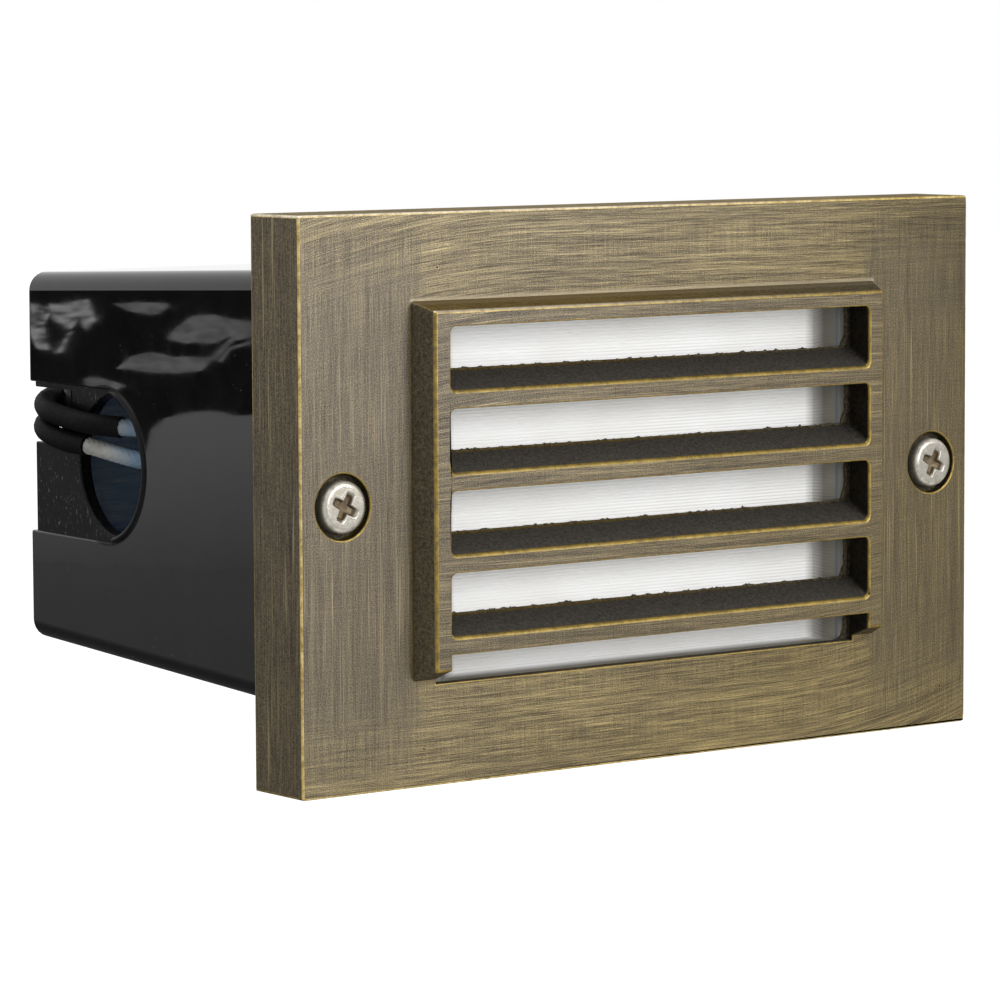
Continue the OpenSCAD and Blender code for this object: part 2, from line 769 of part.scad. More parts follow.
module lamp_filament() {
    legs = 1.5;
    back = capsule_x - pinch_l;
    color([0.55, 0.5, 0.42]) {
        for (s = [-1, 1]) cross_rod(back - 10, back, lamp_d, lamp_z + s * legs, 0.25);
        at_depth(lamp_d) translate([back - 10, 0, lamp_z - legs - 0.25]) cylinder(r = 0.7, h = 2 * legs + 0.5);
    }
}

module lead_bushing() {
    color([0.1, 0.1, 0.1])
    difference() {
        union() {
            rod(bush_x, lamp_z, bush_r, tray_back - sheet_t - 1, tray_back + 1);
            rod(bush_x, lamp_z, bush_r + 0.8, tray_back - sheet_t - 1, tray_back - sheet_t);
            rod(bush_x, lamp_z, bush_r + 0.8, tray_back, tray_back + 1);
        }
        rod(bush_x, lamp_z, bush_bore, tray_back - 3, tray_back + 2);
    }
}

// Nylon tie that keeps the leads from being pulled out through the bushing
module lead_tie() {
    half_w = braid_d / 2 + 0.25;
    half_h = 2.2 + braid_d / 2 + 0.25;
    d0 = tray_back + 1.3;
    color([0.85, 0.85, 0.82])
    translate([bush_x, 0, lamp_z]) {
        slab(d0, d0 + 2.5)
            difference() {
                rounded_rect(2 * half_w + 2, 2 * half_h + 2, 2);
                rounded_rect(2 * half_w, 2 * half_h, 1.2);
            }
        block([half_w + 0.9, d0 - 0.6 + 0.6, -2], [half_w + 4, d0 + 3.4, 2]);
    }
}

module inner_lead(route) {
    color([0.88, 0.88, 0.86]) tube(smooth_line(route, 2), braid_d / 2, 8, [0, 0, 1]);
}

module upper_inner_lead() { inner_lead(upper_inner_route); }
module lower_inner_lead() { inner_lead(lower_inner_route); }

module lead(route, r) {
    color([0.06, 0.06, 0.06]) tube(lead_line(route, r), lead_d / 2, 8, [0, 0, 1]);
}

module upper_lead() { lead(upper_route, coil_r); }
module lower_lead() { lead(lower_route, lower_coil_r); }

module coil(line) {
    color([0.06, 0.06, 0.06]) tube(line, lead_d / 2, 6, [0, 1, 0]);
}

module upper_lead_coil() { coil(upper_coil); }
module lower_lead_coil() { coil(lower_coil); }

// Tie round both coils where their loops close
module coil_tie() {
    a = (coil_in + upper_out) / 2;
    depth_0 = coil_point(coil_r, a)[1] - lead_d / 2 - fit_gap;
    depth_1 = coil_point(coil_r, a - 360)[1] + lead_d / 2 + fit_gap;
    r0 = lower_coil_r - lead_d / 2 - fit_gap;
    r1 = coil_r + lead_d / 2 + fit_gap;
    color([0.08, 0.08, 0.08])
    translate([coil_mid[0], 0, coil_mid[2]]) rotate([0, 90 - a, 0]) {
        difference() {
            block([-1.3, depth_0 - 1, r0 - 1], [1.3, depth_1 + 1, r1 + 1]);
            block([-2, depth_0, r0], [2, depth_1, r1]);
        }
        block([-2.3, depth_1 + 1 - eps, r0 + 1], [2.3, depth_1 + 4, r0 + 5.2]);
    }
}

// Twist-on connector with a bore for the lead's end
module wire_connector(start, heading) {
    at_depth(0) translate(start) rotate([0, 90 - heading, 0])
        rotate_extrude()
            polygon([
                [lead_d / 2 + 0.2, 0], [nut_r - 0.3, 0], [nut_r, 0.6], [nut_r, 4],
                [nut_r - 0.7, 4.6], [nut_r - 1.3, nut_l - 1], [nut_r - 2, nut_l], [0, nut_l],
                [0, nut_bore], [lead_d / 2 + 0.2, nut_bore]
            ]);
}

module wire_connectors() {
    color([0.78, 0.32, 0.1]) {
        wire_connector(
            coil_point(coil_r, upper_out - 360) + tail_upper * coil_heading(upper_out), upper_out - 90
        );
        wire_connector(
            coil_point(lower_coil_r, lower_out - 360) + tail_lower * coil_heading(lower_out), lower_out - 90
        );
    }
}

faceplate();
lens();
lens_gasket();
lens_retainer();
retainer_screws();
plate_gasket();
left_face_screw();
right_face_screw();
housing();
threaded_inserts();
reflector();
reflector_screws();
socket_bracket();
bracket_rivets();
lamp_socket();
socket_contacts();
socket_screws();
socket_nuts();
lamp_capsule();
lamp_pins();
lamp_filament();
lead_bushing();
lead_tie();
upper_inner_lead();
lower_inner_lead();
upper_lead();
lower_lead();
upper_lead_coil();
lower_lead_coil();
coil_tie();
wire_connectors();
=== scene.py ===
import math
from functools import partial
import bmesh
import bpy
from mathutils import Matrix, Vector, noise


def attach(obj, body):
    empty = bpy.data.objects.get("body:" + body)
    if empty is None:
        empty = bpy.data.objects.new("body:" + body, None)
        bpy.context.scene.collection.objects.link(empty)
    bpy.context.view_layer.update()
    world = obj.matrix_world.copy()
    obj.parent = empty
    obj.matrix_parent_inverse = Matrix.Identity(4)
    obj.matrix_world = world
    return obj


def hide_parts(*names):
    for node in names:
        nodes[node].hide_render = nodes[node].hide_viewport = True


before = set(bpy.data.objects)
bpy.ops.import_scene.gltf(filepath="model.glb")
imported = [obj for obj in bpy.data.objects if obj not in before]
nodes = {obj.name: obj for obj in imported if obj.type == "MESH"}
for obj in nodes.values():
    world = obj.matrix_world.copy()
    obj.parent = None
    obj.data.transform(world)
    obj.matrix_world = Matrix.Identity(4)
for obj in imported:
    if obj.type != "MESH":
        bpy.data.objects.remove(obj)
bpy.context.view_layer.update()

MM = 0.001
# The part's sizes in mm. A DEPTH counts from the plate's front, as in the part's drawing, and a FRONT or AT
# from the wall's face
PLATE_DEPTH = 12
PLATE_SIDE, PLATE_TOP, PLATE_FRONT = 63.5, 41.5, -PLATE_DEPTH
HOOD_SIDE, HOOD_FRONT = 44, -16
SLOT_SIDE, SLOT_PITCH, BAR_SLOPE = 39.8, 11.85, 0.577
SCREW_OUT = 56.15
BOX_SIDE, BOX_TAPER, FLANGE_DEPTH = 49.5, 0.03704, 7.5
HOLE_DEPTH, HOLE_R = 77.6, 11.72
HOLE_AT = HOLE_DEPTH - PLATE_DEPTH
scene = bpy.context.scene
scene.view_settings.view_transform = "Standard"


def place(point):
    """A point of the part's drawing, [across, depth behind the plate's front, up] in mm, in metres."""
    return Vector((point[0], point[1] - PLATE_DEPTH, point[2])) * MM


# Camera

def photo_camera():
    """The photograph's view: from the left front and slightly above, with a long lens."""
    data = bpy.data.cameras.new("camera")
    data.lens = 167.5
    data.sensor_width = 36
    data.clip_start = 0.01
    camera = bpy.data.objects.new("camera", data)
    scene.collection.objects.link(camera)
    forward = Vector((0.5994, 0.7946, -0.0969)).normalized()
    right = forward.cross(Vector((0.0620, 0.0746, 0.9953))).normalized()
    turn = Matrix((right, right.cross(forward), -forward)).transposed().to_4x4()
    turn.translation = Vector((-0.4340, -0.5499, 0.0649))
    camera.matrix_world = turn
    scene.camera = camera


# Leads

LEAD_D = 3.4
BRAID_D = 2.8
COIL_MID = (-14, 106, -6.4)
COIL_IN = 105
COIL_PITCH = 4.2
UPPER_HOLE = (-43.33, 78.5, 5.8)
LOWER_HOLE = (-45.73, 84.7, 2.7)
UPPER_ROUTE = [
    UPPER_HOLE, (-46, 83.4, 6.2), (-46.8, 88, 6.75), (-46.6, 95, 7.72),
    (-42.6, 101.8, 8.8), (-35.5, 105.5, 9.85), (-27, 106, 11.5),
]
LOWER_ROUTE = [
    LOWER_HOLE, (-46.8, 89.4, 3.15), (-46.6, 95.5, 4.3),
    (-42.6, 101.8, 5.38), (-35.5, 105.5, 6.35), (-27, 106, 7.8),
]


def smooth_line(points, steps):
    """The same smooth line through chosen points as the part's drawing uses."""
    line = []
    for i in range(len(points) - 1):
        b, c = points[i], points[i + 1]
        a = points[i - 1] if i else 2 * b - c
        d = points[i + 2] if i + 2 < len(points) else 2 * c - b
        for k in range(steps):
            t = k / steps
            line.append(0.5 * (2 * b + (c - a) * t + (2 * a - 5 * b + 4 * c - d) * t * t
                               + (3 * b - a - 3 * c + d) * t ** 3))
    return line + [points[-1]]


def coil_point(r, angle):
    """A point of the coil behind the box, from its radius in mm and its angle."""
    a = math.radians(angle)
    return place((COIL_MID[0] + r * math.cos(a), COIL_MID[1] + COIL_PITCH * (COIL_IN - angle) / 360,
                  COIL_MID[2] + r * math.sin(a)))


def heading(angle):
    """The way a lead runs at an angle of the coil."""
    return Vector((math.sin(math.radians(angle)), 0, -math.cos(math.radians(angle))))


def lead_line(route, r, out, tail):
    """Out of the wire hole, back along the channel, round the back corner, one loop and a straight tail."""
    start = coil_point(r, COIL_IN)
    line = smooth_line([place(p) for p in route] + [start - LEAD_D * MM * heading(COIL_IN), start], 4)
    turn = COIL_IN - out + 360
    rings = round(48 * turn / 360)
    line += [coil_point(r, COIL_IN - turn * i / rings) for i in range(1, rings + 1)]
    end = line[-1]
    return line + [end + s * (tail + 5) * MM * heading(out) for s in (0.15, 0.6, 1)]


def lead_curve(name, line):
    """A round sleeve along a line."""
    curve = bpy.data.curves.new(name, "CURVE")
    curve.dimensions = "3D"
    curve.bevel_depth = LEAD_D / 2 * MM
    curve.bevel_resolution = 6
    curve.use_fill_caps = True
    spline = curve.splines.new("POLY")
    spline.points.add(len(line) - 1)
    for point, p in zip(spline.points, line):
        point.co = (*p, 1)
    return curve


# Meshes

def new_piece(name, data, body, finish, stands_for=()):
    """Puts a finished mesh or curve in the scene on its body, in place of its plain solids."""
    piece = bpy.data.objects.new(name, data)
    scene.collection.objects.link(piece)
    piece.data.materials.append(finish)
    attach(piece, body)
    if stands_for:
        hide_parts(*stands_for)
    return piece


def skin(name, shells, ribbed=False):
    """A mesh drawn over rings of points. Each shell's rings have the same number, and its ends are filled.
    Ribbed ends are filled in strips from side to side, and only they are shaded as round."""
    build = bmesh.new()
    for rings in shells:
        made = [[build.verts.new(p) for p in ring] for ring in rings]
        count = len(rings[0])
        for a, b in zip(made, made[1:]):
            for i in range(count):
                build.faces.new((a[i], a[(i + 1) % count], b[(i + 1) % count], b[i])).smooth = not ribbed
        for end in (made[0][::-1], made[-1]):
            if not ribbed:
                build.faces.new(end)
                continue
            for i in range(count // 2 - 1):
                build.faces.new((end[i + 1], end[count - 2 - i], end[count - 1 - i], end[i])).smooth = True
    bmesh.ops.recalc_face_normals(build, faces=build.faces)
    mesh = bpy.data.meshes.new(name)
    build.to_mesh(mesh)
    build.free()
    return mesh


def ease(value, low, high):
    """0 below low, 1 above high, and an even rise between."""
    return min(max((value - low) / (high - low), 0), 1)


def evenly(line, step):
    """The same line with its points one step apart, and at each a pair of directions across it."""
    spots, left = [line[0]], step
    for a, b in zip(line, line[1:]):
        span = (b - a).length
        at = left
        while at < span:
            spots.append(a.lerp(b, at / span))
            at += step
        left = at - span
    spots.append(line[-1])
    ahead = [(b - a).normalized() for a, b in zip(spots, spots[1:])]
    ahead.append(ahead[-1])
    side = ahead[0].orthogonal().normalized()
    crossings = []
    for i, way in enumerate(ahead):
        if i:
            side = ahead[i - 1].rotation_difference(way) @ side
        crossings.append((spots[i], side, way.cross(side)))
    return crossings


def round_ring(centre, u, v, radii):
    """A ring round a centre, with its radius in mm at each of its points."""
    n = len(radii)
    return [centre + r * MM * (math.cos(math.tau * i / n) * u + math.sin(math.tau * i / n) * v)
            for i, r in enumerate(radii)]


# Lens

LENS_HALF = 41.7
LENS_LOW, LENS_HIGH = -29.3, 28.8
DISH_LOW, DISH_HIGH = -26.0, 25.5
RIB = 0.48


def ribbed_lens():
    """Pressed lens: a flat rim, sloping sides down to a sunk floor, and fine ribs across the floor."""
    rows = int((DISH_HIGH - DISH_LOW) / RIB * 6)
    steps = [i / rows for i in range(rows + 1)]

    def frame_line(half, low, high, depth, corner, ribs):
        """One ring round the lens with rounded corners. Its points at the sides follow the ribs."""
        left, right = [], []
        for t in steps:
            z = low + (high - low) * t
            out = max(corner - min(z - low, high - z), 0)
            x = half - (corner - math.sqrt(max(corner ** 2 - out ** 2, 0)))
            d = depth + ribs * (0.5 - 0.5 * math.cos(math.tau * t * rows / 6)) if 0 < t < 1 else depth
            left.append(place((-x, d, z)))
            right.append(place((x, d, z)))
        return left + right[::-1]

    return skin("ribbed_lens", [[
        frame_line(35.2, DISH_LOW, DISH_HIGH, 4.0, 0.3, -0.12),
        frame_line(38.0, -27.25, 26.75, 1.25, 0.5, 0),
        frame_line(38.25, -27.4, 26.9, 1.2, 0.6, 0),
        frame_line(LENS_HALF - 0.25, LENS_LOW + 0.25, LENS_HIGH - 0.25, 1.2, 1, 0),
        frame_line(LENS_HALF, LENS_LOW, LENS_HIGH, 1.45, 1.2, 0),
        frame_line(LENS_HALF, LENS_LOW, LENS_HIGH, 6.75, 1.2, 0),
        frame_line(LENS_HALF - 0.25, LENS_LOW + 0.25, LENS_HIGH - 0.25, 7.0, 1, 0),
    ]], ribbed=True)


def casting_flash():
    """Thin ragged fins left at the rear edges of the slots, which show dark against the white lens."""
    shells = []

    def fin(start, end, up, reach, seed):
        """One fin from start to end, reaching out into the slot."""
        count = int((end - start).length / 0.22)
        rings = []
        for i in range(count + 1):
            p = start.lerp(end, i / count)
            rough = (0.7 * noise.fractal(Vector((i * 0.13, seed, 0)), 0.6, 2.2, 5)
                     + 0.35 * noise.noise(Vector((i * 0.9, seed, 5))))
            corner = 1.3 * ease(p.x, 36.5, 39.5) * ease(-p.z, 26, 26.5)
            shelf = 0.75 + 0.9 * ease(start.z + 2 - p.z, 0, 2) if up.x < 0 else 0
            h = max(reach * rough + corner * (0.6 + rough) + shelf, 0.03)
            rings.append([place(p + d * Vector((0, 1, 0)) + s * up) for s, d in
                          ((-0.35, -0.3), (-0.35, 0), (h, -0.05), (h, -0.18))])
        shells.append(rings)

    back = 1.15
    for i in range(5):
        sill = 18.8 - SLOT_PITCH * i if i < 4 else -26.6
        head = 28.1 - SLOT_PITCH * i
        left, right = Vector((-SLOT_SIDE, back, sill)), Vector((SLOT_SIDE, back, sill))
        rise = Vector((0, 0, head - sill))
        fin(left, right, Vector((0, 0, 1)), 0.5 if i < 4 else 0.1, 3.1 * i)
        fin(right, right + rise, Vector((-1, 0, 0)), 0.35, 3.1 * i + 1.7)
        fin(left, left + rise, Vector((1, 0, 0)), 0.35, 3.1 * i + 2.3)
    return skin("casting_flash", shells)


# Screws

def cross_screw(top, axis, head_r, head_t, shank_r, length, turn, pitch):
    """Rings of one screw: the cross recess, the flat top and rounded rim of its head, and its thread."""
    axis = Vector(axis)
    u = axis.orthogonal().normalized() if axis.y == 0 else Vector((1, 0, 0))
    u = Matrix.Rotation(math.radians(turn), 3, axis) @ u
    v = axis.cross(u)
    top = place(top)
    reach, half, deep = 0.62 * head_r, 0.17 * head_r, 0.42 * head_t
    rim = 0.2 * head_r
    count = 144

    def sunk(a, b):
        """How far the cross is sunk, from 0 to 1, at a along one of its arms and b beside it."""
        wall = ease(half * (1.3 - 0.3 * a / reach) - b, 0, 0.07 * head_r)
        return wall * ease(reach - a, 0, 0.2 * head_r) * (1 - 0.35 * a / reach)

    rings = []
    steps = 44
    for k in range(steps + 1):
        r = max(head_r * k / steps, 0.01)
        edge = max(r - (head_r - rim), 0)
        fall = (rim - math.sqrt(max(rim ** 2 - edge ** 2, 0))) * 0.85 + 0.012 * head_r * (r / head_r) ** 2
        ring = []
        for i in range(count):
            angle = math.tau * i / count
            a, b = abs(r * math.cos(angle)), abs(r * math.sin(angle))
            hole = deep * max(sunk(a, b), sunk(b, a), ease(0.3 * head_r - a - b, 0, 0.08 * head_r))
            ring.append(top + MM * ((fall + hole) * axis + r * (math.cos(angle) * u + math.sin(angle) * v)))
        rings.append(ring)
    rings.append(round_ring(top + head_t * MM * axis, u, v, [head_r] * count))
    rings.append(round_ring(top + (head_t + 0.001) * MM * axis, u, v, [shank_r * 0.8] * count))
    turns = int((length - 0.6) / pitch * 6)
    for k in range(1, turns):
        t = k * pitch / 6
        rings.append(round_ring(top + (head_t + t) * MM * axis, u, v, [
            shank_r - 0.9 * pitch * abs((t / pitch + i / count) % 1 - 0.5) for i in range(count)]))
    rings.append(round_ring(top + (head_t + length) * MM * axis, u, v, [shank_r * 0.55] * count))
    return rings


# Wires and small parts

UPPER_INNER = [
    (24, 27, 4.2), (27.5, 27.6, 4.2), (30.5, 32.5, 4.2), (30.5, 42.2, 4.2), (30, 50, 4.2),
    (23, 54.5, 4.2), (6, 56, 4.4), (-14, 59, 4.733), (-31, 65.5, 5.32), (-39.604, 72.5, 5.7), UPPER_HOLE,
]
LOWER_INNER = [
    (24, 27, -0.2), (27.5, 27.6, -0.2), (30.5, 32.5, -0.2), (30.5, 42.2, -0.2), (30, 50, -0.2),
    (23, 54.5, -0.2), (6, 56, 0), (-14, 59, -0.033), (-31, 65.5, 0.15), (-40.704, 74, 0.5), LOWER_HOLE,
]


def braided_lead(name, route):
    """Glass-fibre braid over a wire: eight yarns each way, one crossing over and under the other."""
    rings = []
    across = 32
    for k, (spot, u, v) in enumerate(evenly(smooth_line([place(p) for p in route], 6), 0.16 * MM)):
        radii = []
        for i in range(across):
            a = (8 * i / across + k * 0.16 / 1.1) % 2
            b = (8 * i / across - k * 0.16 / 1.1) % 2
            over, under = (a % 1, b % 1) if (int(a) + int(b)) % 2 == 0 else (b % 1, a % 1)
            height = math.sin(math.pi * over) ** 0.6 * (0.55 + 0.45 * math.sin(math.pi * under))
            radii.append(BRAID_D / 2 - 0.2 + 0.2 * height)
        rings.append(round_ring(spot, u, v, radii))
    return skin(name, [rings])


def twist_on_connector(start, way):
    """Fluted twist-on connector: a plain skirt, then eight flutes that taper to its closed end."""
    u = Vector((0, 1, 0))
    v = way.cross(u)
    count = 64
    profile = [(1.9, 5), (1.9, 0.3), (2.2, 0), (3.9, 0), (4.2, 0.2), (4.3, 0.6), (4.3, 3.8), (4.15, 4.2)]
    profile += [(3.95 - 0.95 * t, 4.6 + 12.2 * t) for t in [k / 14 for k in range(15)]]
    profile += [(2.9, 17.2), (2.6, 17.6), (2.2, 17.9), (1.5, 18)]
    rings = []
    for r, z in profile:
        flute = 0.42 * ease(z, 4.3, 5.5) * ease(18 - z, 0.2, 1.5)
        rings.append(round_ring(start + z * MM * way, u, v, [
            r - flute * max(math.cos(math.tau * 8 * i / count), -0.3) for i in range(count)]))
    return rings


def hole_lip():
    """The bead that the mould leaves round the wire hole, as far as the channel."""
    section = ((-0.55, -0.5), (-0.55, 0), (-0.45, 0.22), (-0.2, 0.36),
               (0.1, 0.36), (0.4, 0.24), (0.6, 0.02), (0.6, -0.5))
    rings = []
    for k in range(57):
        angle = math.radians(97 + 166 * k / 56)
        size = min(ease(k, -1, 4), ease(57 - k, 0, 4))
        ring = []
        for out, up in section:
            r = HOLE_R + out * size
            depth = HOLE_DEPTH + r * math.cos(angle)
            wall = -(BOX_SIDE - BOX_TAPER * (depth - FLANGE_DEPTH))
            ring.append(place((wall - up * size, depth, r * math.sin(angle))))
        rings.append(ring)
    return skin("hole_lip", [rings])


def coiled_filament():
    """Two support wires and a close winding between them."""
    line = [place((6.4, 27, 0.5)), place((-3.0, 27, 0.5))]
    turns, steps = 11, 10
    for k in range(turns * steps + 1):
        angle = math.tau * k / steps
        line.append(place((-3.6 + 0.52 * math.cos(angle), 27 + 0.52 * math.sin(angle),
                           0.5 + 3 * k / (turns * steps))))
    line += [place((-3.0, 27, 3.5)), place((6.4, 27, 3.5))]
    wire = [round_ring(p, u, v, [0.12] * 6) for p, u, v in evenly(line, 0.12 * MM)]
    return skin("coiled_filament", [wire])


def plate_outside(add, at):
    """The edges of the plate's front, its hood and its rim."""
    return add(LARGEST, add(BELOW, at["Y"], (PLATE_FRONT + 0.01) * MM),
               add(ABOVE, add(ABSOLUTE, at["X"]), (PLATE_SIDE - 0.1) * MM),
               add(ABOVE, add(ABSOLUTE, at["Z"]), (PLATE_TOP - 0.1) * MM))


def box_outside(add, at):
    """All edges of the box except those of its mouth, which the plate covers."""
    return add(ABOVE, at["Y"], (FLANGE_DEPTH - PLATE_DEPTH + 0.3) * MM)


def edges_to_round(name, outside=None):
    """Shades curved faces as round, and marks the outward edges over 30 degrees that are to be rounded."""
    group = bpy.data.node_groups.new(name, "GeometryNodeTree")
    for way in ("INPUT", "OUTPUT"):
        group.interface.new_socket("Geometry", in_out=way, socket_type="NodeSocketGeometry")
    group.is_modifier = True
    add = partial(add_node, group)
    least = math.radians(30)
    angle = add(("GeometryNodeInputMeshEdgeAngle", {}))
    steep = add(("FunctionNodeCompare", {"operation": "GREATER_THAN"}), angle, least)
    whole = add(("GeometryNodeSetShadeSmooth", {"domain": "FACE"}), add(("NodeGroupInput", {})))
    creased = add(("GeometryNodeSetShadeSmooth", {"domain": "EDGE"}), whole, steep, False)
    chosen = add(ABOVE, angle.node.outputs["Signed Angle"], least)
    if outside:
        at = add(PARTS, add(("GeometryNodeInputPosition", {}))).node.outputs
        chosen = add(TIMES, chosen, outside(add, at))
    marked = add(("GeometryNodeStoreNamedAttribute", {"data_type": "FLOAT", "domain": "EDGE"}),
                 creased, None, "bevel_weight_edge", chosen)
    add(("NodeGroupOutput", {}), marked)
    return group


def soften(node, width, marking, clamp):
    """Rounds the edges of a drawn solid, as moulding, casting and pressing leave them."""
    weld = node.modifiers.new("join_facets", "WELD")
    weld.merge_threshold = 0.00001
    flatten = node.modifiers.new("flat_faces", "DECIMATE")
    flatten.decimate_type = "DISSOLVE"
    flatten.angle_limit = math.radians(0.2)
    node.modifiers.new("marked_edges", "NODES").node_group = marking
    edges = node.modifiers.new("rounded_edges", "BEVEL")
    edges.width = width * MM
    edges.segments = 3
    edges.use_clamp_overlap = clamp
    edges.limit_method = "WEIGHT"
    flat = node.modifiers.new("flat_stays_flat", "WEIGHTED_NORMAL")
    flat.weight = 100
    flat.keep_sharp = True


# Finishes

def linear(colour):
    """An sRGB hex colour as the linear values that a shader takes."""
    parts = [int(colour[i:i + 2], 16) / 255 for i in (1, 3, 5)]
    return (*[v / 12.92 if v <= 0.04045 else ((v + 0.055) / 1.055) ** 2.4 for v in parts], 1.0)


# The kinds of node, each with its settings
TIMES, PLUS, MINUS, PER, LARGEST, SMALLEST, ABSOLUTE, ABOVE, BELOW = (
    ("ShaderNodeMath", {"operation": name}) for name in (
        "MULTIPLY", "ADD", "SUBTRACT", "DIVIDE", "MAXIMUM", "MINIMUM", "ABSOLUTE",
        "GREATER_THAN", "LESS_THAN"))
EACH_TIMES, EACH_PER, SCALED, LENGTH, ALONG, EACH_ABSOLUTE = (
    ("ShaderNodeVectorMath", {"operation": name}) for name in (
        "MULTIPLY", "DIVIDE", "SCALE", "LENGTH", "DOT_PRODUCT", "ABSOLUTE"))
SHARE = ("ShaderNodeMapRange", {})
BLEND = ("ShaderNodeMix", {"data_type": "RGBA"})
BLEND_VALUE = ("ShaderNodeMix", {})
NOISE = ("ShaderNodeTexNoise", {})
CELLS = ("ShaderNodeTexVoronoi", {"voronoi_dimensions": "2D"})
JOINED = ("ShaderNodeCombineXYZ", {})
PARTS = ("ShaderNodeSeparateXYZ", {})
SURFACE = ("ShaderNodeNewGeometry", {})
PLACE = ("ShaderNodeTexCoord", {})
RAY = ("ShaderNodeLightPath", {})
CORNERS = ("ShaderNodeAmbientOcclusion", {"samples": 6})
ROUNDED = ("ShaderNodeBevel", {"samples": 8})
RAMP = ("ShaderNodeValToRGB", {})
BUMP = ("ShaderNodeBump", {})


def connect(node, name, value):
    """Links an input of a node to another's output, or sets its value."""
    if isinstance(value, bpy.types.NodeSocket):
        node.id_data.links.new(value, node.inputs[name])
    else:
        node.inputs[name].default_value = value


def add_node(tree, kind, *values, stops=()):
    """Adds one node with its settings, its colour stops and its inputs, in the order in which Blender shows
    them, and gives its first output. None leaves an input alone. Values beyond the last input go to further
    nodes of the kind."""
    made = tree.nodes.new(kind[0])
    for name, value in kind[1].items():
        setattr(made, name, value)
    for i, (position, colour) in enumerate(stops):
        if i >= len(made.color_ramp.elements):
            made.color_ramp.elements.new(position)
        made.color_ramp.elements[i].position = position
        made.color_ramp.elements[i].color = linear(colour)
    inputs = [i for i, socket in enumerate(made.inputs) if socket.enabled]
    for i, value in zip(inputs, values):
        if value is not None:
            connect(made, i, value)
    result = next((socket for socket in made.outputs if socket.enabled), None)
    rest = values[len(inputs):]
    return add_node(tree, kind, result, *rest) if rest else result


def start_finish(name, colour, metallic, roughness):
    """A new material with its plain values, the function that adds its nodes, its surface, and the place of
    each point on it in mm."""
    finish = bpy.data.materials.new(name)
    finish.use_nodes = True
    add = partial(add_node, finish.node_tree)
    surface = finish.node_tree.nodes["Principled BSDF"]
    for socket, value in (("Base Color", linear(colour)), ("Metallic", metallic), ("Roughness", roughness)):
        connect(surface, socket, value)
    mm = add(EACH_TIMES, add(PLACE).node.outputs["Object"], (1000, 1000, 1000))
    return finish, add, surface, mm


def rubbed_edges(add, radius, low, high):
    """Where an outer edge lies within the radius in mm, so that handling rubs it."""
    facing = add(SURFACE).node.outputs["True Normal"]
    return add(SHARE, add(ALONG, add(ROUNDED, radius * MM), facing), low, high)


def rounded_faces(add):
    """The narrow rounded faces along straight edges, which look neither along X, Y nor Z."""
    facing = add(EACH_ABSOLUTE, add(SURFACE).node.outputs["True Normal"])
    return add(SHARE, add(LARGEST, *add(PARTS, facing).node.outputs), 0.99, 0.97)


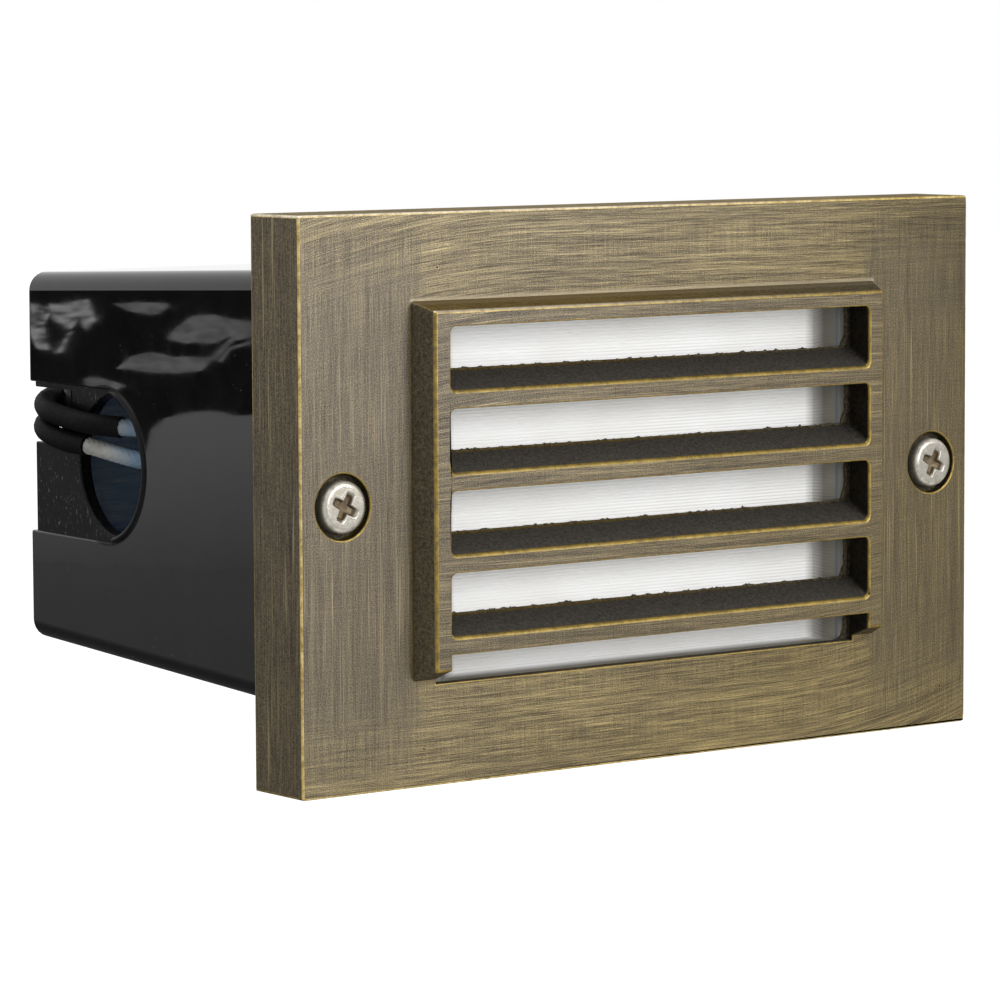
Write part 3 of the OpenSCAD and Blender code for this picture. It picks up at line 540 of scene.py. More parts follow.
def cast_brass():
    """Sand-cast brass, brushed, browned and rubbed back: a warm grey-brown with fine gold and dark strokes,
    gold lines along the edges where the brown is worn off, and dark unbrushed metal inside the slots."""
    finish, add, surface, mm = start_finish("cast_brass_brushed_and_aged", "#766d5a", 0.9, 0.42)
    connect(surface, "Specular Tint", linear("#a3915f"))
    x, y, z = add(PARTS, mm).node.outputs
    side = add(ABSOLUTE, x)
    tall = add(ABSOLUTE, z)

    # The brush was swung: strokes curve up towards the upper left and the lower right corners
    left = add(SMALLEST, add(PLUS, x, 20.0), 0.0)
    right = add(LARGEST, add(MINUS, x, 25.0), 0.0)
    rise = add(TIMES, left, left, 0.003, add(SHARE, z, -5, 15))
    fall = add(TIMES, right, right, 0.004, add(SHARE, z, 5, -15))
    swung = add(PLUS, z, add(MINUS, rise, fall))
    swept = add(JOINED, x, y, swung)

    # Strokes are under 0.1 mm wide and 8 mm long, in tonal bands of 0.8 mm. They run along X and, at the
    # plate's ends, upright
    fine = [add(NOISE, add(EACH_PER, at, grain), 1.0, 2.0, 0.75)
            for at, grain in ((swept, (7, 0.35, 0.06)), (mm, (0.085, 0.2, 8)))]
    bands = [add(NOISE, add(EACH_PER, at, grain), 1.0, 2.0, 0.5)
             for at, grain in ((swept, (35, 2, 0.8)), (mm, (0.8, 0.9, 35)))]
    wander = add(TIMES, add(NOISE, add(EACH_PER, mm, (9, 9, 9)), 1.0, 2.0, 0.6), 6.0)
    upright = add(TIMES, add(SHARE, add(PLUS, side, wander), 45.5, 47.5),
                  add(SHARE, add(PLUS, tall, wander), 44, 31),
                  add(SHARE, y, PLATE_FRONT - 0.6, PLATE_FRONT - 0.3))
    upright = add(LARGEST, upright, add(SHARE, side, PLATE_SIDE - 0.4, PLATE_SIDE - 0.2))
    stroke = add(BLEND_VALUE, upright, *fine)
    band = add(BLEND_VALUE, upright, *bands)
    # Fainter strokes cross the others, as the brush changed its way
    crossing = add(BLEND_VALUE, upright, *fine[::-1])
    tone = add(PLUS, add(TIMES, stroke, 0.6), add(TIMES, band, 0.18), add(TIMES, crossing, 0.22))
    # Strokes are hardest on the flat plate, softer on the hood's front and softest where they are upright,
    # and 0.2 mm grit marks lie over all of them
    quiet = add(LARGEST, upright, add(SHARE, y, HOOD_FRONT + 0.8, HOOD_FRONT + 0.4))
    grit = add(NOISE, add(EACH_PER, mm, (0.2, 0.2, 0.2)), 1.0, 1.0, 0.6)
    gain = add(PLUS, add(SHARE, upright, 0, 1, 0.0, -0.35), add(SHARE, quiet, 0, 1, 1.6, 1.2))
    tone = add(PLUS, add(TIMES, add(MINUS, tone, 0.5), gain), add(TIMES, add(MINUS, grit, 0.5), 0.48), 0.5)
    patina = add(RAMP, tone, stops=(
        (0.28, "#3a3327"), (0.4, "#5a5243"), (0.5, "#756d5a"),
        (0.6, "#958864"), (0.72, "#bba97c"), (0.86, "#e2d2a8")))
    # Now and then a stroke went deeper and stayed bright
    deeper = add(BLEND_VALUE, upright, *[
        add(NOISE, add(EACH_PER, at, grain), 1.0, 1.0, 0.6)
        for at, grain in ((swept, (26, 0.7, 0.12)), (mm, (0.12, 0.7, 26)))])
    patina = add(BLEND, add(SHARE, deeper, 0.64, 0.74, 0.0, 0.75), patina, linear("#cdbb8d"))
    # The brown is warmer to the lower right, colder and darker on the hood's front and upright strokes,
    # with painted shade at the upper right
    warmth = add(SHARE, add(MINUS, x, add(TIMES, z, 1.2)), -60, 60)
    tint = add(BLEND, warmth, (0.95, 0.955, 1.03, 1), (0.97, 0.92, 0.77, 1))
    tint = add(EACH_TIMES, tint, add(BLEND, quiet, (0.91, 0.91, 0.93, 1), (0.77, 0.78, 0.9, 1)))
    # Painted shade: the upper right of the plate is darkened
    painted_shade_upper_right = add(TIMES, add(SHARE, x, 33, 60), add(SHARE, z, 5, 38, 0.16, 0.36))
    tint = add(SCALED, tint, add(MINUS, add(SHARE, z, -24, -34, 1.0, 1.1), painted_shade_upper_right))
    patina = add(EACH_TIMES, patina, tint)
    blotch = add(SHARE, add(NOISE, add(EACH_PER, mm, (16, 16, 16)), 1.0, 2.0, 0.6), 0.35, 0.7, 0.0, 0.15)
    patina = add(BLEND, blotch, patina, linear("#6a6253"))
    # A few pits, 0.3 mm across
    distance = add(CELLS, add(JOINED, x, z), 0.085)
    pit = add(TIMES, add(SHARE, distance, 0.014, 0.009),
              add(SHARE, distance.node.outputs["Color"], 0.72, 0.74))
    patina = add(BLEND, pit, patina, linear("#15120d"))

    # The brown is worn off every outer edge in an uneven gold line. Edges that look up get a painted
    # highlight, paler to the left
    uneven = add(NOISE, add(EACH_PER, mm, (1.1, 1.1, 1.1)), 1.0, 4.0, 0.7)
    flank = add(TIMES, add(SHARE, y, HOOD_FRONT + 0.4, HOOD_FRONT + 0.5),
                add(SHARE, y, PLATE_FRONT - 0.12, PLATE_FRONT - 0.25))
    edge = add(LARGEST, rubbed_edges(add, 0.3, 0.98, 0.85),
               add(TIMES, rounded_faces(add), add(MINUS, 1.0, flank)))
    rubbed = add(TIMES, edge, add(SHARE, uneven, 0.3, 0.55, 0.45, 0.95))
    closed = add(SHARE, add(CORNERS, None, 2.2 * MM).node.outputs["AO"], 0.78, 0.5)
    rubbed = add(TIMES, rubbed, add(MINUS, 1.0, closed))
    facing_up_painted_light = add(SHARE, add(PARTS, add(SURFACE).node.outputs["True Normal"]).node.outputs["Z"], 0.2, 0.6)
    rim = add(LARGEST, add(SHARE, side, PLATE_SIDE - 1, PLATE_SIDE - 0.7),
              add(SHARE, tall, PLATE_TOP - 1, PLATE_TOP - 0.7))
    wear = add(SHARE, uneven, 0.35, 0.65)
    gold = add(BLEND, rim, add(BLEND, wear, linear("#7f6a2e"), linear("#a58d4c")),
               add(BLEND, wear, linear("#b0954a"), linear("#dac48a")))
    pale = add(BLEND, rim, linear("#bdb29b"), linear("#efe7d6"))
    # Painted highlight: the top edges that look up are paler towards the left
    gold = add(BLEND, add(TIMES, facing_up_painted_light, add(SHARE, x, 45, -20), add(SHARE, z, 26.2, 26.8)), gold, pale)
    colour = add(BLEND, rubbed, patina, gold)
    # The cove above the hood catches the light
    cove = add(TIMES, add(SHARE, z, 28.15, 28.4), add(SHARE, z, 29.4, 28.8),
               add(SHARE, side, HOOD_SIDE + 0.3, HOOD_SIDE - 0.1),
               add(SHARE, y, PLATE_FRONT + 0.2, PLATE_FRONT + 0.05))
    colour = add(BLEND, add(TIMES, cove, 0.6), colour, linear("#c9bda3"))
    # The hood's unbrushed sides and the slots' insides are brown, and painted shade darkens corners and
    # counterbores
    under_top = add(MINUS, z, add(TIMES, add(MINUS, y, HOOD_FRONT), BAR_SLOPE))
    inner = add(TIMES, add(SHARE, side, SLOT_SIDE + 0.3, SLOT_SIDE + 0.1),
                add(SHARE, y, HOOD_FRONT + 0.3, HOOD_FRONT + 0.6),
                add(SHARE, under_top, 25.65, 25.45), add(SHARE, z, -26.85, -26.7))
    from_screw = add(LENGTH, add(JOINED, add(MINUS, side, SCREW_OUT), None, z))
    # Painted shade: the counterbores round the screws are darkened
    counterbore_painted_shade = add(TIMES, add(SHARE, from_screw, 4.85, 4.68),
                add(SHARE, y, PLATE_FRONT + 0.38, PLATE_FRONT + 0.6))
    behind = add(TIMES, add(SHARE, y, PLATE_FRONT + 0.5, PLATE_FRONT + 0.7),
                 add(SHARE, side, PLATE_SIDE - 0.2, PLATE_SIDE - 0.4),
                 add(SHARE, tall, PLATE_TOP - 0.2, PLATE_TOP - 0.4))
    rough_cast = add(NOISE, add(EACH_PER, mm, (0.5, 0.5, 0.5)), 1.0, 4.0, 0.7)
    unbrushed = add(BLEND, add(SHARE, rough_cast, 0.4, 0.68), linear("#3c372d"), linear("#6b6454"))
    # Painted light from above: the unbrushed faces that look up are lighter and golder towards the left
    painted_lit_top_colour = add(BLEND, add(SHARE, rough_cast, 0.35, 0.65), linear("#524424"), linear("#7b6834"))
    unbrushed = add(BLEND, add(TIMES, facing_up_painted_light, add(SHARE, x, 40, -10)), unbrushed, painted_lit_top_colour)
    colour = add(BLEND, add(TIMES, flank, 0.75, add(MINUS, 1.0, rubbed)), colour, unbrushed)
    # Painted shade: the corners are darkened where the occlusion is high
    colour = add(BLEND, add(TIMES, closed, 0.8), colour, linear("#2a251a"))
    # The sills' cast skin is greyer than the slots' end walls, and both have painted glints
    glint = add(SHARE, add(NOISE, add(EACH_PER, mm, (0.22, 0.22, 0.22)), 1.0, 2.0, 0.6), 0.72, 0.8)
    skin_tone = add(SHARE, rough_cast, 0.35, 0.7)
    deep = add(BLEND, skin_tone, linear("#1e1b18"), linear("#34302a"))
    sill = add(BLEND, skin_tone, linear("#403e3b"), linear("#5e5a54"))
    deep = add(BLEND, add(TIMES, inner, add(SHARE, side, SLOT_SIDE - 0.05, SLOT_SIDE - 0.5)), deep, sill)
    deep = add(BLEND, glint, deep, linear("#a89a72"))
    # The slots' insides and, as painted shade, the counterbores take the dark colour
    hidden = add(LARGEST, inner, counterbore_painted_shade)
    colour = add(BLEND, hidden, colour, deep)
    colour = add(BLEND, behind, colour, unbrushed)
    connect(surface, "Base Color", colour)
    dull = add(LARGEST, hidden, behind, add(TIMES, flank, 0.7))
    shine = add(BLEND_VALUE, dull, add(SHARE, stroke, 0.3, 0.7, 0.5, 0.36), 0.72)
    connect(surface, "Roughness", shine)
    # Strokes are scratches about 0.01 mm deep, and the cast skin is rough by 0.1 mm
    relief = add(BLEND_VALUE, dull, add(TIMES, stroke, 0.12), rough_cast)
    relief = add(MINUS, relief, add(TIMES, pit, 0.6))
    connect(surface, "Normal", add(BUMP, 0.8, 0.12 * MM, None, relief))
    return finish


def glossy_moulding():
    """Black plastic from a polished mould: a dark mirror with a slight waviness, fine dust and a few pale
    marks. Its inside looks navy blue in the shade behind the wire hole."""
    finish, add, surface, mm = start_finish("abs_moulded_glossy_black", "#0a0a0b", 0, 0.08)
    connect(surface, "IOR", 1.44)
    x, y, z = add(PARTS, mm).node.outputs
    side = add(ABSOLUTE, x)
    tall = add(ABSOLUTE, z)
    dust = add(SHARE, add(NOISE, add(EACH_PER, mm, (0.25, 0.25, 0.25)), 1.0, 1.0, 0.6), 0.79, 0.83)
    film = add(SHARE, add(NOISE, add(EACH_PER, mm, (5, 5, 5)), 1.0, 4.0, 0.7), 0.35, 0.7)
    colour = add(BLEND, add(TIMES, film, 0.25), linear("#0b0b0c"), linear("#201f20"))
    # Scuffs and white dust lie on the channel's floor
    channel = add(TIMES, add(SHARE, y, HOLE_AT - 1.6, HOLE_AT - 0.1),
                  add(SHARE, x, -45.2, -45.0), add(SHARE, x, -44.0, -44.4), add(SHARE, tall, 12.4, 11.9))
    scuff = add(SHARE, add(NOISE, add(EACH_PER, mm, (0.5, 0.5, 1.1)), 1.0, 5.0, 0.75), 0.60, 0.72)
    colour = add(BLEND, add(TIMES, channel, scuff, 0.8), colour, linear("#8f8f8c"))
    colour = add(BLEND, add(TIMES, dust, 0.6), colour, linear("#b9b6ae"))
    # The back of the inside, which shows through the wire hole
    depth = add(MINUS, y, PLATE_FRONT)
    within = add(TIMES, add(SHARE, x, -42.0, -41.9),
                 add(SHARE, add(PLUS, side, add(TIMES, depth, BOX_TAPER)), BOX_SIDE - 1.6, BOX_SIDE - 1.7),
                 add(SHARE, add(PLUS, tall, add(TIMES, depth, 0.0408)), 31.75, 31.65),
                 add(SHARE, depth, 99.9, 99.8), add(SHARE, y, 60, 75))
    streaks = add(SHARE, add(NOISE, add(EACH_PER, mm, (6, 6, 0.5)), 1.0, 3.0, 0.6), 0.3, 0.7)
    navy = add(BLEND, streaks, linear("#8fb5dd"), linear("#cfe0f2"))
    colour = add(BLEND, within, colour, navy)
    connect(surface, "Base Color", colour)
    # The channel's floor and the bead round the hole come from an etched part of the mould and mirror less
    from_hole = add(LENGTH, add(JOINED, add(MINUS, y, HOLE_AT), None, z))
    bead = add(TIMES, add(SHARE, from_hole, HOLE_R + 0.98, HOLE_R + 0.68), add(SHARE, x, -46.2, -46.5))
    etched = add(LARGEST, channel, bead)
    marks = add(LARGEST, add(TIMES, etched, 0.5), add(TIMES, within, 0.5), add(TIMES, dust, 0.6))
    connect(surface, "Specular IOR Level", add(SHARE, etched, 0, 1, 0.5, 0.12))
    gloss = add(PLUS, add(SHARE, film, 0.0, 1.0, 0.012, 0.028), add(TIMES, marks, 0.6))
    connect(surface, "Roughness", gloss)
    # The moulding sinks and swells by a hundredth of a millimetre over 12 to 26 mm
    swell = add(NOISE, add(EACH_PER, mm, (26, 17, 12)), 1.0, 1.0, 0.6)
    relief = add(PLUS, swell, add(TIMES, channel, scuff, 0.17))
    connect(surface, "Normal", add(BUMP, 1.0, 0.012 * MM, None, relief))
    return finish


def pressed_glass():
    """White opal glass from a mould: a soft milky surface with a few specks of dust."""
    finish, add, surface, mm = start_finish("opal_glass_pressed", "#e9e8e4", 0, 0.28)
    x, _, z = add(PARTS, mm).node.outputs
    side = add(ABSOLUTE, x)
    # The rim and the dish's slope are painted greyer than the floor, a painted shade where the dark fitting
    # shows through
    rim = add(LARGEST, add(SHARE, side, 33.6, 36.4),
              add(SHARE, add(ABSOLUTE, add(PLUS, z, 0.25)), 25.8, 26.3))
    line = add(TIMES, add(SHARE, side, 37.6, 37.8), add(SHARE, side, 38.3, 38.15))
    milk = add(SHARE, add(NOISE, add(EACH_PER, mm, (14, 14, 9)), 1.0, 1.0, 0.6), 0.3, 0.7)
    # The lowest rib stands in the shade of the dish's foot
    lowest = add(ABSOLUTE, add(MINUS, add(PER, add(MINUS, z, DISH_LOW), RIB), 0.5))
    shade = add(TIMES, add(SHARE, lowest, 0.18, 0.0), 0.32)
    floor_colour = add(BLEND, milk, linear("#f8f7f4"), linear("#ffffff"))
    # Painted shade colour of the rim and the slope
    painted_shade_rim_colour = add(BLEND, milk, linear("#636057"), linear("#77746a"))
    colour = add(BLEND, shade, add(BLEND, rim, floor_colour, painted_shade_rim_colour), linear("#8f8d88"))
    colour = add(BLEND, add(TIMES, line, 0.8), colour, linear("#4c5358"))
    speck = add(SHARE, add(NOISE, add(EACH_PER, mm, (0.4, 0.4, 0.4)), 1.0, 2.0, 0.6), 0.72, 0.8)
    colour = add(BLEND, add(TIMES, speck, 0.35), colour, linear("#77756f"))
    connect(surface, "Base Color", colour)
    connect(surface, "IOR", 1.52)
    connect(surface, "Roughness", add(SHARE, milk, 0, 1, 0.45, 0.5))
    skin_grain = add(NOISE, add(EACH_PER, mm, (0.3, 0.3, 0.3)), 1.0, 1.0, 0.6)
    connect(surface, "Normal", add(BUMP, 0.3, 0.01 * MM, None, skin_grain))
    return finish


def worn_nickel():
    """Nickel-plated steel that a driver has marked: light grey metal, darker and brown in the cross."""
    finish, add, surface, mm = start_finish("steel_nickel_plated_worn", "#b5afa3", 1, 0.3)
    x, y, z = add(PARTS, mm).node.outputs
    deep = add(SHARE, y, PLATE_FRONT - 0.55, PLATE_FRONT - 0.3)
    shank = add(SHARE, y, PLATE_FRONT + 1.4, PLATE_FRONT + 1.6)
    from_axis = add(LENGTH, add(JOINED, add(MINUS, add(ABSOLUTE, x), SCREW_OUT), None, z))
    dark_brown_cross = add(TIMES, deep, add(MINUS, 1.0, shank), add(SHARE, from_axis, 2.9, 2.6))
    scratch = add(NOISE, add(EACH_PER, mm, (0.9, 0.9, 0.12)), 1.0, 4.0, 0.7)
    patch = add(SHARE, add(NOISE, add(EACH_PER, mm, (1.4, 1.4, 1.4)), 1.0, 3.0, 0.6), 0.42, 0.6)
    colour = add(BLEND, patch, linear("#9f9a8f"), linear("#c4c0b6"))
    colour = add(BLEND, add(SHARE, scratch, 0.6, 0.72, 0.0, 0.5), colour, linear("#e6e2d6"))
    colour = add(BLEND, add(TIMES, dark_brown_cross, 0.85), colour, linear("#5e4c31"))
    connect(surface, "Base Color", colour)
    flank = add(SHARE, from_axis, 3.4, 3.6)
    rough = add(PLUS, add(SHARE, patch, 0, 1, 0.36, 0.22), add(TIMES, add(LARGEST, dark_brown_cross, flank), 0.3))
    connect(surface, "Roughness", rough)
    connect(surface, "Normal", add(BUMP, 0.5, 0.03 * MM, None, scratch))
    return finish


def glass_fibre_braid():
    """White glass-fibre yarns of fine threads, drawn 0.1 mm thick so that they show: dull, grey in cloudy
    patches, and tinted blue inside the box by painted shade."""
    finish, add, surface, mm = start_finish("glass_fibre_braided_white", "#d5dadd", 0, 0.6)
    thread = add(NOISE, add(EACH_PER, mm, (0.1, 0.1, 0.1)), 1.0, 3.0, 0.6)
    grey_clouds = add(SHARE, add(NOISE, add(EACH_PER, mm, (3, 3, 3)), 1.0, 3.0, 0.6), 0.35, 0.7)
    inside = add(SHARE, add(PARTS, mm), -45.4, -42.8)
    colour = add(BLEND, grey_clouds, linear("#9a9891"), linear("#6f6e68"))
    # Painted shade: inside the box the braid is tinted blue, as by light off the box's blue inside
    colour = add(BLEND, add(TIMES, inside, 0.8), colour, linear("#4f7798"))
    colour = add(BLEND, add(SHARE, thread, 0.35, 0.6, 0.5, 0.0), colour, linear("#6f757a"))
    connect(surface, "Base Color", colour)
    connect(surface, "Roughness", add(SHARE, thread, 0.3, 0.7, 0.5, 0.75))
    connect(surface, "Normal", add(BUMP, 0.6, 0.04 * MM, None, thread))
    return finish


def quartz_glass():
    """Drawn quartz tube pinched at its foot: clear, with faint draw lines along it."""
    finish, add, surface, mm = start_finish("quartz_glass_drawn", "#ffffff", 0, 0.02)
    connect(surface, "Transmission Weight", 1.0)
    connect(surface, "IOR", 1.46)
    lines = add(NOISE, add(EACH_PER, mm, (8, 0.8, 0.8)), 1.0, 2.0, 0.6)
    connect(surface, "Roughness", add(SHARE, lines, 0.3, 0.7, 0.01, 0.06))
    connect(surface, "Normal", add(BUMP, 0.3, 0.05 * MM, None, lines))
    return finish


def worked_finish(name, colours, metallic, roughness, grain, depth, ior=1.5):
    """A finish whose grain has a size in mm along X, Y and Z. It varies between two colours and in gloss,
    has rubbed edges, and stands up by a depth in mm."""
    dark, light = colours
    finish, add, surface, mm = start_finish(name, light, metallic, roughness)
    connect(surface, "IOR", ior)
    speckle = add(NOISE, add(EACH_PER, mm, grain), 1.0, 4.0, 0.6)
    cloud = add(NOISE, add(EACH_PER, mm, (7, 7, 7)), 1.0, 3.0, 0.6)
    tone = add(PLUS, add(TIMES, speckle, 0.6), add(TIMES, cloud, 0.4))
    colour = add(BLEND, add(SHARE, tone, 0.35, 0.65), linear(dark), linear(light))
    edge = rubbed_edges(add, 0.25, 0.995, 0.9)
    worn = [min(c * 1.25 + 0.01, 1) for c in linear(light)[:3]] + [1]
    colour = add(BLEND, add(TIMES, edge, 0.5), colour, worn)
    connect(surface, "Base Color", colour)
    connect(surface, "Roughness", add(SHARE, tone, 0.35, 0.65, min(roughness * 1.2, 1), roughness * 0.85))
    connect(surface, "Normal", add(BUMP, 0.6, depth * MM, None, speckle))
    return finish


# Studio

def studio():
    """A pale floor far below the light, white all round, and large soft lamps in front and above. Cards
    behind on the left and below, which only reflections see, make the polished box show dark over light."""
    world = bpy.data.worlds.new("white_room")
    scene.world = world
    world.use_nodes = True
    add = partial(add_node, world.node_tree)
    seen = add(RAY).node.outputs
    shown = add(LARGEST, *[seen["Is %s Ray" % kind] for kind in ("Camera", "Glossy", "Transmission")])
    backdrop = world.node_tree.nodes["Background"]
    connect(backdrop, "Color", (1, 1, 1, 1))
    connect(backdrop, "Strength", add(SHARE, shown, 0, 1, 0.82, 1.0))

    def sheet(name, corners, colour, glow=0.0, seen_by="Is Camera Ray", creases=0.0, fade=None):
        """A flat sheet that glows for one kind of ray, crumpled or fading along an axis."""
        mesh = bpy.data.meshes.new(name)
        mesh.from_pydata(corners, [], [range(len(corners))])
        card = bpy.data.objects.new(name, mesh)
        scene.collection.objects.link(card)
        paper, add, surface, mm = start_finish(name, colour, 0, 0.9)
        strength = add(TIMES, add(RAY).node.outputs[seen_by], glow)
        if creases:
            crumple = add(NOISE, add(EACH_PER, mm, (12, 12, 4)), 1.0, 2.0, 0.5)
            strength = add(TIMES, strength, add(SHARE, crumple, 0.38, 0.58, creases, 1.0))
        if fade:
            axis, low, high, bottom, top = fade
            at = add(PARTS, mm).node.outputs[axis]
            strength = add(TIMES, strength, add(SHARE, at, low, high, bottom, top))
        connect(surface, "Emission Color", (1, 1, 1, 1))
        connect(surface, "Emission Strength", strength)
        mesh.materials.append(paper)
        return card

    sheet("floor", [(-6, -6, -0.3), (6, -6, -0.3), (6, 6, -0.3), (-6, 6, -0.3)], "#dcdcda", 0.55)
    # White cloths hang before the black card and grey paper behind it. The box mirrors them as pale patches
    low = Vector((-2.6, 0.6, 0))
    along = Vector((1.7, 2.0, 0)).normalized()
    toward = Vector((along.y, -along.x, 0))

    def hung(outline, nearer):
        """The corners of a sheet that hangs behind on the left, from places along it and heights."""
        return [low + u * along + nearer * toward + Vector((0, 0, z)) for u, z in outline]

    cards = [
        sheet("black_card", hung([
            (2.5, -0.17), (2.229, -0.176), (2.172, -0.198), (2.129, -0.211), (2.125, -0.195),
            (2.116, -0.186), (2.104, -0.1824), (2.084, -0.1807), (1.8, -0.182), (1.8, -0.055),
            (2.5, -0.055)], 0), "#0c0c0c"),
        sheet("grey_paper", hung([(1.8, -0.299), (2.5, -0.299), (2.5, -0.16), (1.8, -0.16)], -0.01),
              "#0c0c0c", 1.0, "Is Glossy Ray", fade=("Z", -300, -180, 0.36, 0.84)),
        sheet("low_black_card", [(-0.9, 0.1, -0.29), (4, 0.1, -0.29), (4, 5, -0.29), (0.6, 5, -0.29),
                                 (-0.98, 2.52, -0.29), (-1.45, 1.95, -0.29)],
              "#0c0c0c", 1.0, "Is Glossy Ray", fade=("X", -1200, -250, 0.34, 0.03))]
    white_cloths = (
        [(2.211, -0.104), (2.189, -0.1065), (2.197, -0.119), (2.194, -0.1386), (2.201, -0.1387),
         (2.208, -0.126)],
        [(2.194, -0.1035), (2.166, -0.1025), (2.16, -0.1176), (2.168, -0.1244), (2.173, -0.1146),
         (2.18, -0.124), (2.189, -0.117)],
        [(2.181, -0.126), (2.178, -0.1247), (2.186, -0.14), (2.191, -0.141)],
        [(2.146, -0.1037), (2.108, -0.1033), (2.107, -0.1062), (2.116, -0.1125), (2.126, -0.113),
         (2.138, -0.109)],
        [(2.111, -0.129), (2.103, -0.121), (2.089, -0.113), (2.074, -0.1115), (2.045, -0.115),
         (2.045, -0.124), (2.064, -0.126), (2.076, -0.1306), (2.093, -0.132)],
        [(2.147, -0.15), (2.136, -0.142), (2.122, -0.139), (2.106, -0.1424), (2.074, -0.1396),
         (2.085, -0.15), (2.103, -0.153), (2.123, -0.151)],
        [(2.079, -0.141), (2.071, -0.132), (2.061, -0.126), (2.045, -0.123), (2.045, -0.1255),
         (2.059, -0.1286), (2.068, -0.135), (2.075, -0.142)],
        [(2.074, -0.143), (2.064, -0.1334), (2.045, -0.128), (2.045, -0.1303), (2.062, -0.135),
         (2.07, -0.144)],
        [(2.17, -0.158), (2.158, -0.157), (2.139, -0.164), (2.149, -0.168), (2.168, -0.165)],
    )
    for i, outline in enumerate(white_cloths):
        # The first three are crumpled and brighter
        glow, creases = (2.4, 0.15) if i < 3 else (1.1, 0.6)
        cloth = sheet("white_cloth_%d" % i, hung(outline, 0.01), "#0c0c0c", glow, "Is Glossy Ray", creases)
        cards.append(cloth)
    for card in cards:
        card.visible_camera = card.visible_diffuse = card.visible_transmission = card.visible_shadow = False
    for name, position, size, power in (
            ("front_softbox", (0.22, -0.62, 0.2), 0.35, 2.6), ("top_softbox", (-0.3, 0.1, 1.2), 1.0, 8)):
        lamp = bpy.data.lights.new(name, "AREA")
        lamp.shape = "SQUARE"
        lamp.size = size
        lamp.energy = power
        holder = bpy.data.objects.new(name, lamp)
        holder.location = position
        holder.visible_camera = False
        holder.rotation_euler = (-Vector(position)).to_track_quat("-Z", "Y").to_euler()
        scene.collection.objects.link(holder)


# The step light

photo_camera()
# Deep black rubber with a soft, dull sheen
sleeve = worked_finish(
    "silicone_rubber_extruded_black", ("#050505", "#0c0c0c"), 0, 0.65, (0.5, 0.5, 0.5), 0.03, 1.41)
connect(sleeve.node_tree.nodes["Principled BSDF"], "Specular IOR Level", 0.12)
upper_line = lead_line(UPPER_ROUTE, 20.8, 90, 15.5)
lower_line = lead_line(LOWER_ROUTE, 16.9, 60, 19.5)
upper = new_piece("upper_supply_lead", lead_curve("upper_supply_lead", upper_line),
                  "box", sleeve, ("upper_lead", "upper_lead_coil"))
lower = new_piece("lower_supply_lead", lead_curve("lower_supply_lead", lower_line),
                  "box", sleeve, ("lower_lead", "lower_lead_coil"))
# Waxy orange plastic with a satin gloss
cap = worked_finish(
    "polypropylene_moulded_orange", ("#b8461a", "#d25f28"), 0, 0.38, (0.6, 0.6, 0.6), 0.02, 1.49)
caps = [twist_on_connector(line[-1] - 5 * MM * heading(out), heading(out))
        for line, out in ((upper_line, 90), (lower_line, 60))]
connectors = new_piece("twist_on_connectors", skin("twist_on_connectors", caps), "box", cap,
                       ("wire_connectors",))

brass = cast_brass()
screw_steel = worn_nickel()
# Bright grey plating, a little uneven
plated = worked_finish("steel_zinc_plated", ("#a5a7a6", "#c6c8c8"), 1, 0.32, (0.3, 0.3, 0.3), 0.01)
braid = glass_fibre_braid()
new_piece("ribbed_lens", ribbed_lens(), "plate", pressed_glass(), ("lens",))
new_piece("casting_flash", casting_flash(), "plate", brass)
for side, x, turn in (("left", -SCREW_OUT, 28), ("right", SCREW_OUT, 25)):
    rings = cross_screw((x, -0.7, 0), (0, 1, 0), 3.75, 2.2, 1.95, 13, turn, 0.7)
    new_piece(side + "_cross_screw", skin(side + "_cross_screw", [rings]), side + "_screw", screw_steel,
              (side + "_face_screw",))
small_screws = {
    "lens_retainer_screws": ("plate", "retainer_screws", [
        cross_screw((x, 10.4, z), (0, -1, 0), 2.1, 1.4, 1, 6.2, 20 + x, 0.5)
        for x in (-44.3, 44.3) for z in (-18.25, 17.75)]),
    "tray_screws": ("box", "reflector_screws", [
        cross_screw((x, 11, 0), (0, 1, 0), 2.7, 2, 1.2, 9.8, 50 + x, 0.6) for x in (-43, 43)]),
    "lamp_socket_screws": ("box", "socket_screws", [
        cross_screw((19.6, d, 2), (1, 0, 0), 2.1, 1.4, 1.2, 6.4, 5 * d, 0.5) for d in (20.1, 33.9)]),
}
for name, (body, node, shells) in small_screws.items():
    new_piece(name, skin(name, shells), body, plated, (node,))
for which, route in (("upper", UPPER_INNER), ("lower", LOWER_INNER)):
    name = which + "_braided_lead"
    new_piece(name, braided_lead(name, route), "box", braid, (which + "_inner_lead",))
# Dark grey drawn wire
tungsten = worked_finish("tungsten_wire_coiled", ("#5d5954", "#7d7973"), 1, 0.4, (0.2, 0.2, 0.2), 0.01)
new_piece("coiled_filament", coiled_filament(), "lamp", tungsten, ("lamp_filament",))

black_moulding = glossy_moulding()
new_piece("hole_lip", hole_lip(), "box", black_moulding)

# Black plastic with a satin gloss
black_nylon = worked_finish(
    "nylon_moulded_black", ("#0d0d0d", "#1a1a1a"), 0, 0.45, (0.5, 0.5, 0.5), 0.02, 1.53)
# Yellow metal with fine streaks along the screws
turned_brass = worked_finish("brass_turned", ("#a98443", "#d0a85c"), 1, 0.28, (0.2, 1.5, 0.2), 0.01)
# Silver-grey metal with the faint lines of rolling
stamped = worked_finish("aluminium_sheet_stamped", ("#a4a6a8", "#c3c5c7"), 1, 0.38, (6, 6, 0.2), 0.01)
# Dull black foam with small open pores
foam = worked_finish("epdm_foam_die_cut", ("#0e0e0e", "#1d1d1d"), 0, 0.9, (0.35, 0.35, 0.35), 0.15)
# Pale grey rubber, smooth and without gloss
grey_rubber = worked_finish(
    "silicone_rubber_cut_grey", ("#a9aaa6", "#bcbdb9"), 0, 0.6, (0.6, 0.6, 0.6), 0.02, 1.42)
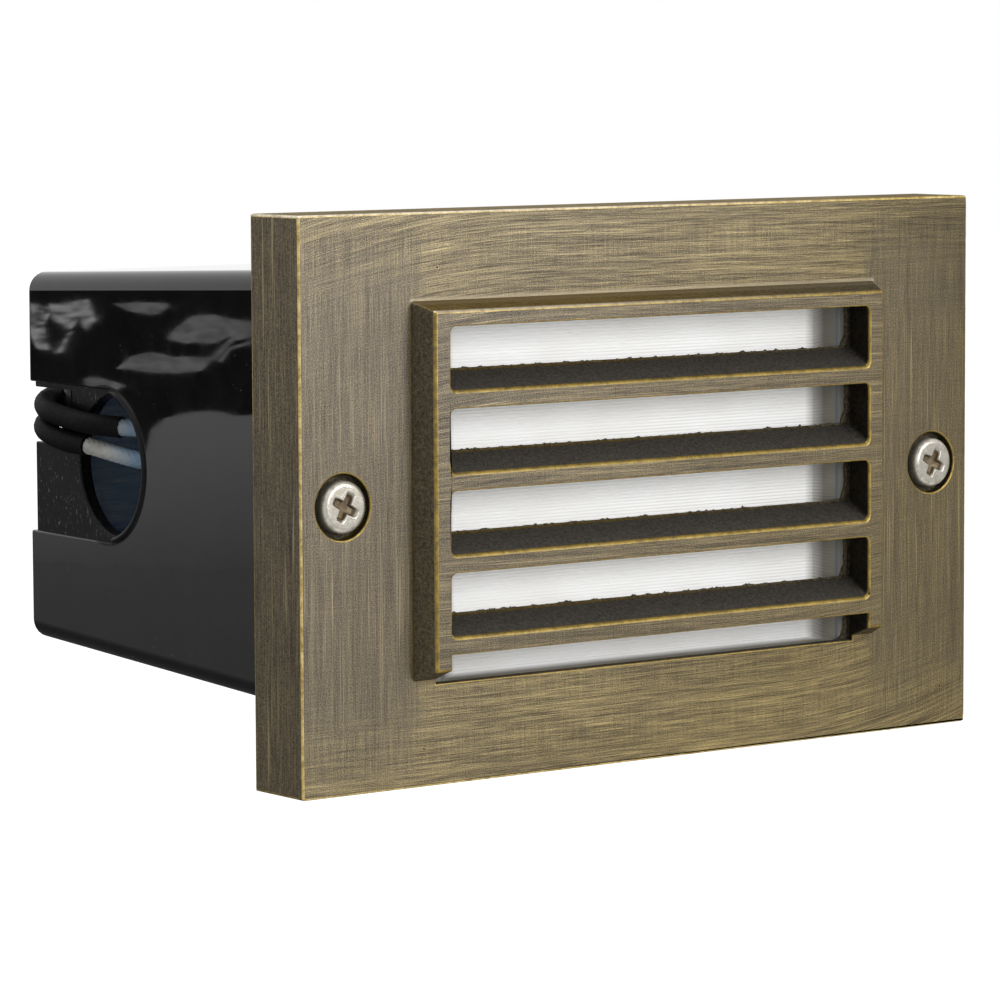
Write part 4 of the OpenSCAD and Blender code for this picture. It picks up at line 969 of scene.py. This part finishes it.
# Glossy white enamel that spreads the lamp's light, with a slight orange peel
enamel = worked_finish(
    "steel_sheet_white_enamelled", ("#e6e5df", "#f3f2ee"), 0, 0.2, (2.5, 2.5, 2.5), 0.04)
# Dull blue-grey zinc with cloudy spangles
galvanised = worked_finish("steel_sheet_galvanised", ("#8f9496", "#b9bdbf"), 1, 0.42, (3, 3, 3), 0.01)
# Cream ceramic, matt and finely grained
steatite = worked_finish("steatite_pressed", ("#ddd7c6", "#ece7d9"), 0, 0.5, (0.4, 0.4, 0.4), 0.03)
# Warm silver wire with draw lines along it
pin_wire = worked_finish("nickel_wire_drawn", ("#a8a59b", "#c4c1b8"), 1, 0.25, (3, 0.1, 0.1), 0.005)
# Milky off-white plastic
white_nylon = worked_finish(
    "nylon_moulded_natural", ("#cfccc0", "#e2dfd4"), 0, 0.4, (0.8, 0.8, 0.8), 0.02, 1.53)

# Each drawn solid that stays: its finish, and how far its edges are rounded in mm
kept = {
    "faceplate": (brass, 0.3),
    "housing": (black_moulding, 0.25),
    "plate_gasket": (foam, 0.3),
    "lens_gasket": (grey_rubber, 0.2),
    "lens_retainer": (stamped, 0.15),
    "threaded_inserts": (turned_brass, 0.2),
    "reflector": (enamel, 0.25),
    "socket_bracket": (galvanised, 0.15),
    "bracket_rivets": (stamped, 0.3),
    "lamp_socket": (steatite, 0.4),
    "socket_contacts": (turned_brass, 0.1),
    "socket_nuts": (plated, 0.15),
    "lamp_capsule": (quartz_glass(), 0),
    "lamp_pins": (pin_wire, 0.1),
    "lead_bushing": (black_nylon, 0.2),
    "lead_tie": (white_nylon, 0.3),
    "coil_tie": (black_nylon, 0.3),
}
marked_edges = {"faceplate": edges_to_round("plate_edges", plate_outside),
                "housing": edges_to_round("box_edges", box_outside)}
all_edges = edges_to_round("all_edges")
for name, (finish, width) in kept.items():
    node = nodes[name]
    node.data.materials.clear()
    node.data.materials.append(finish)
    if width:
        soften(node, width, marked_edges.get(name, all_edges), clamp=name not in marked_edges)

studio()
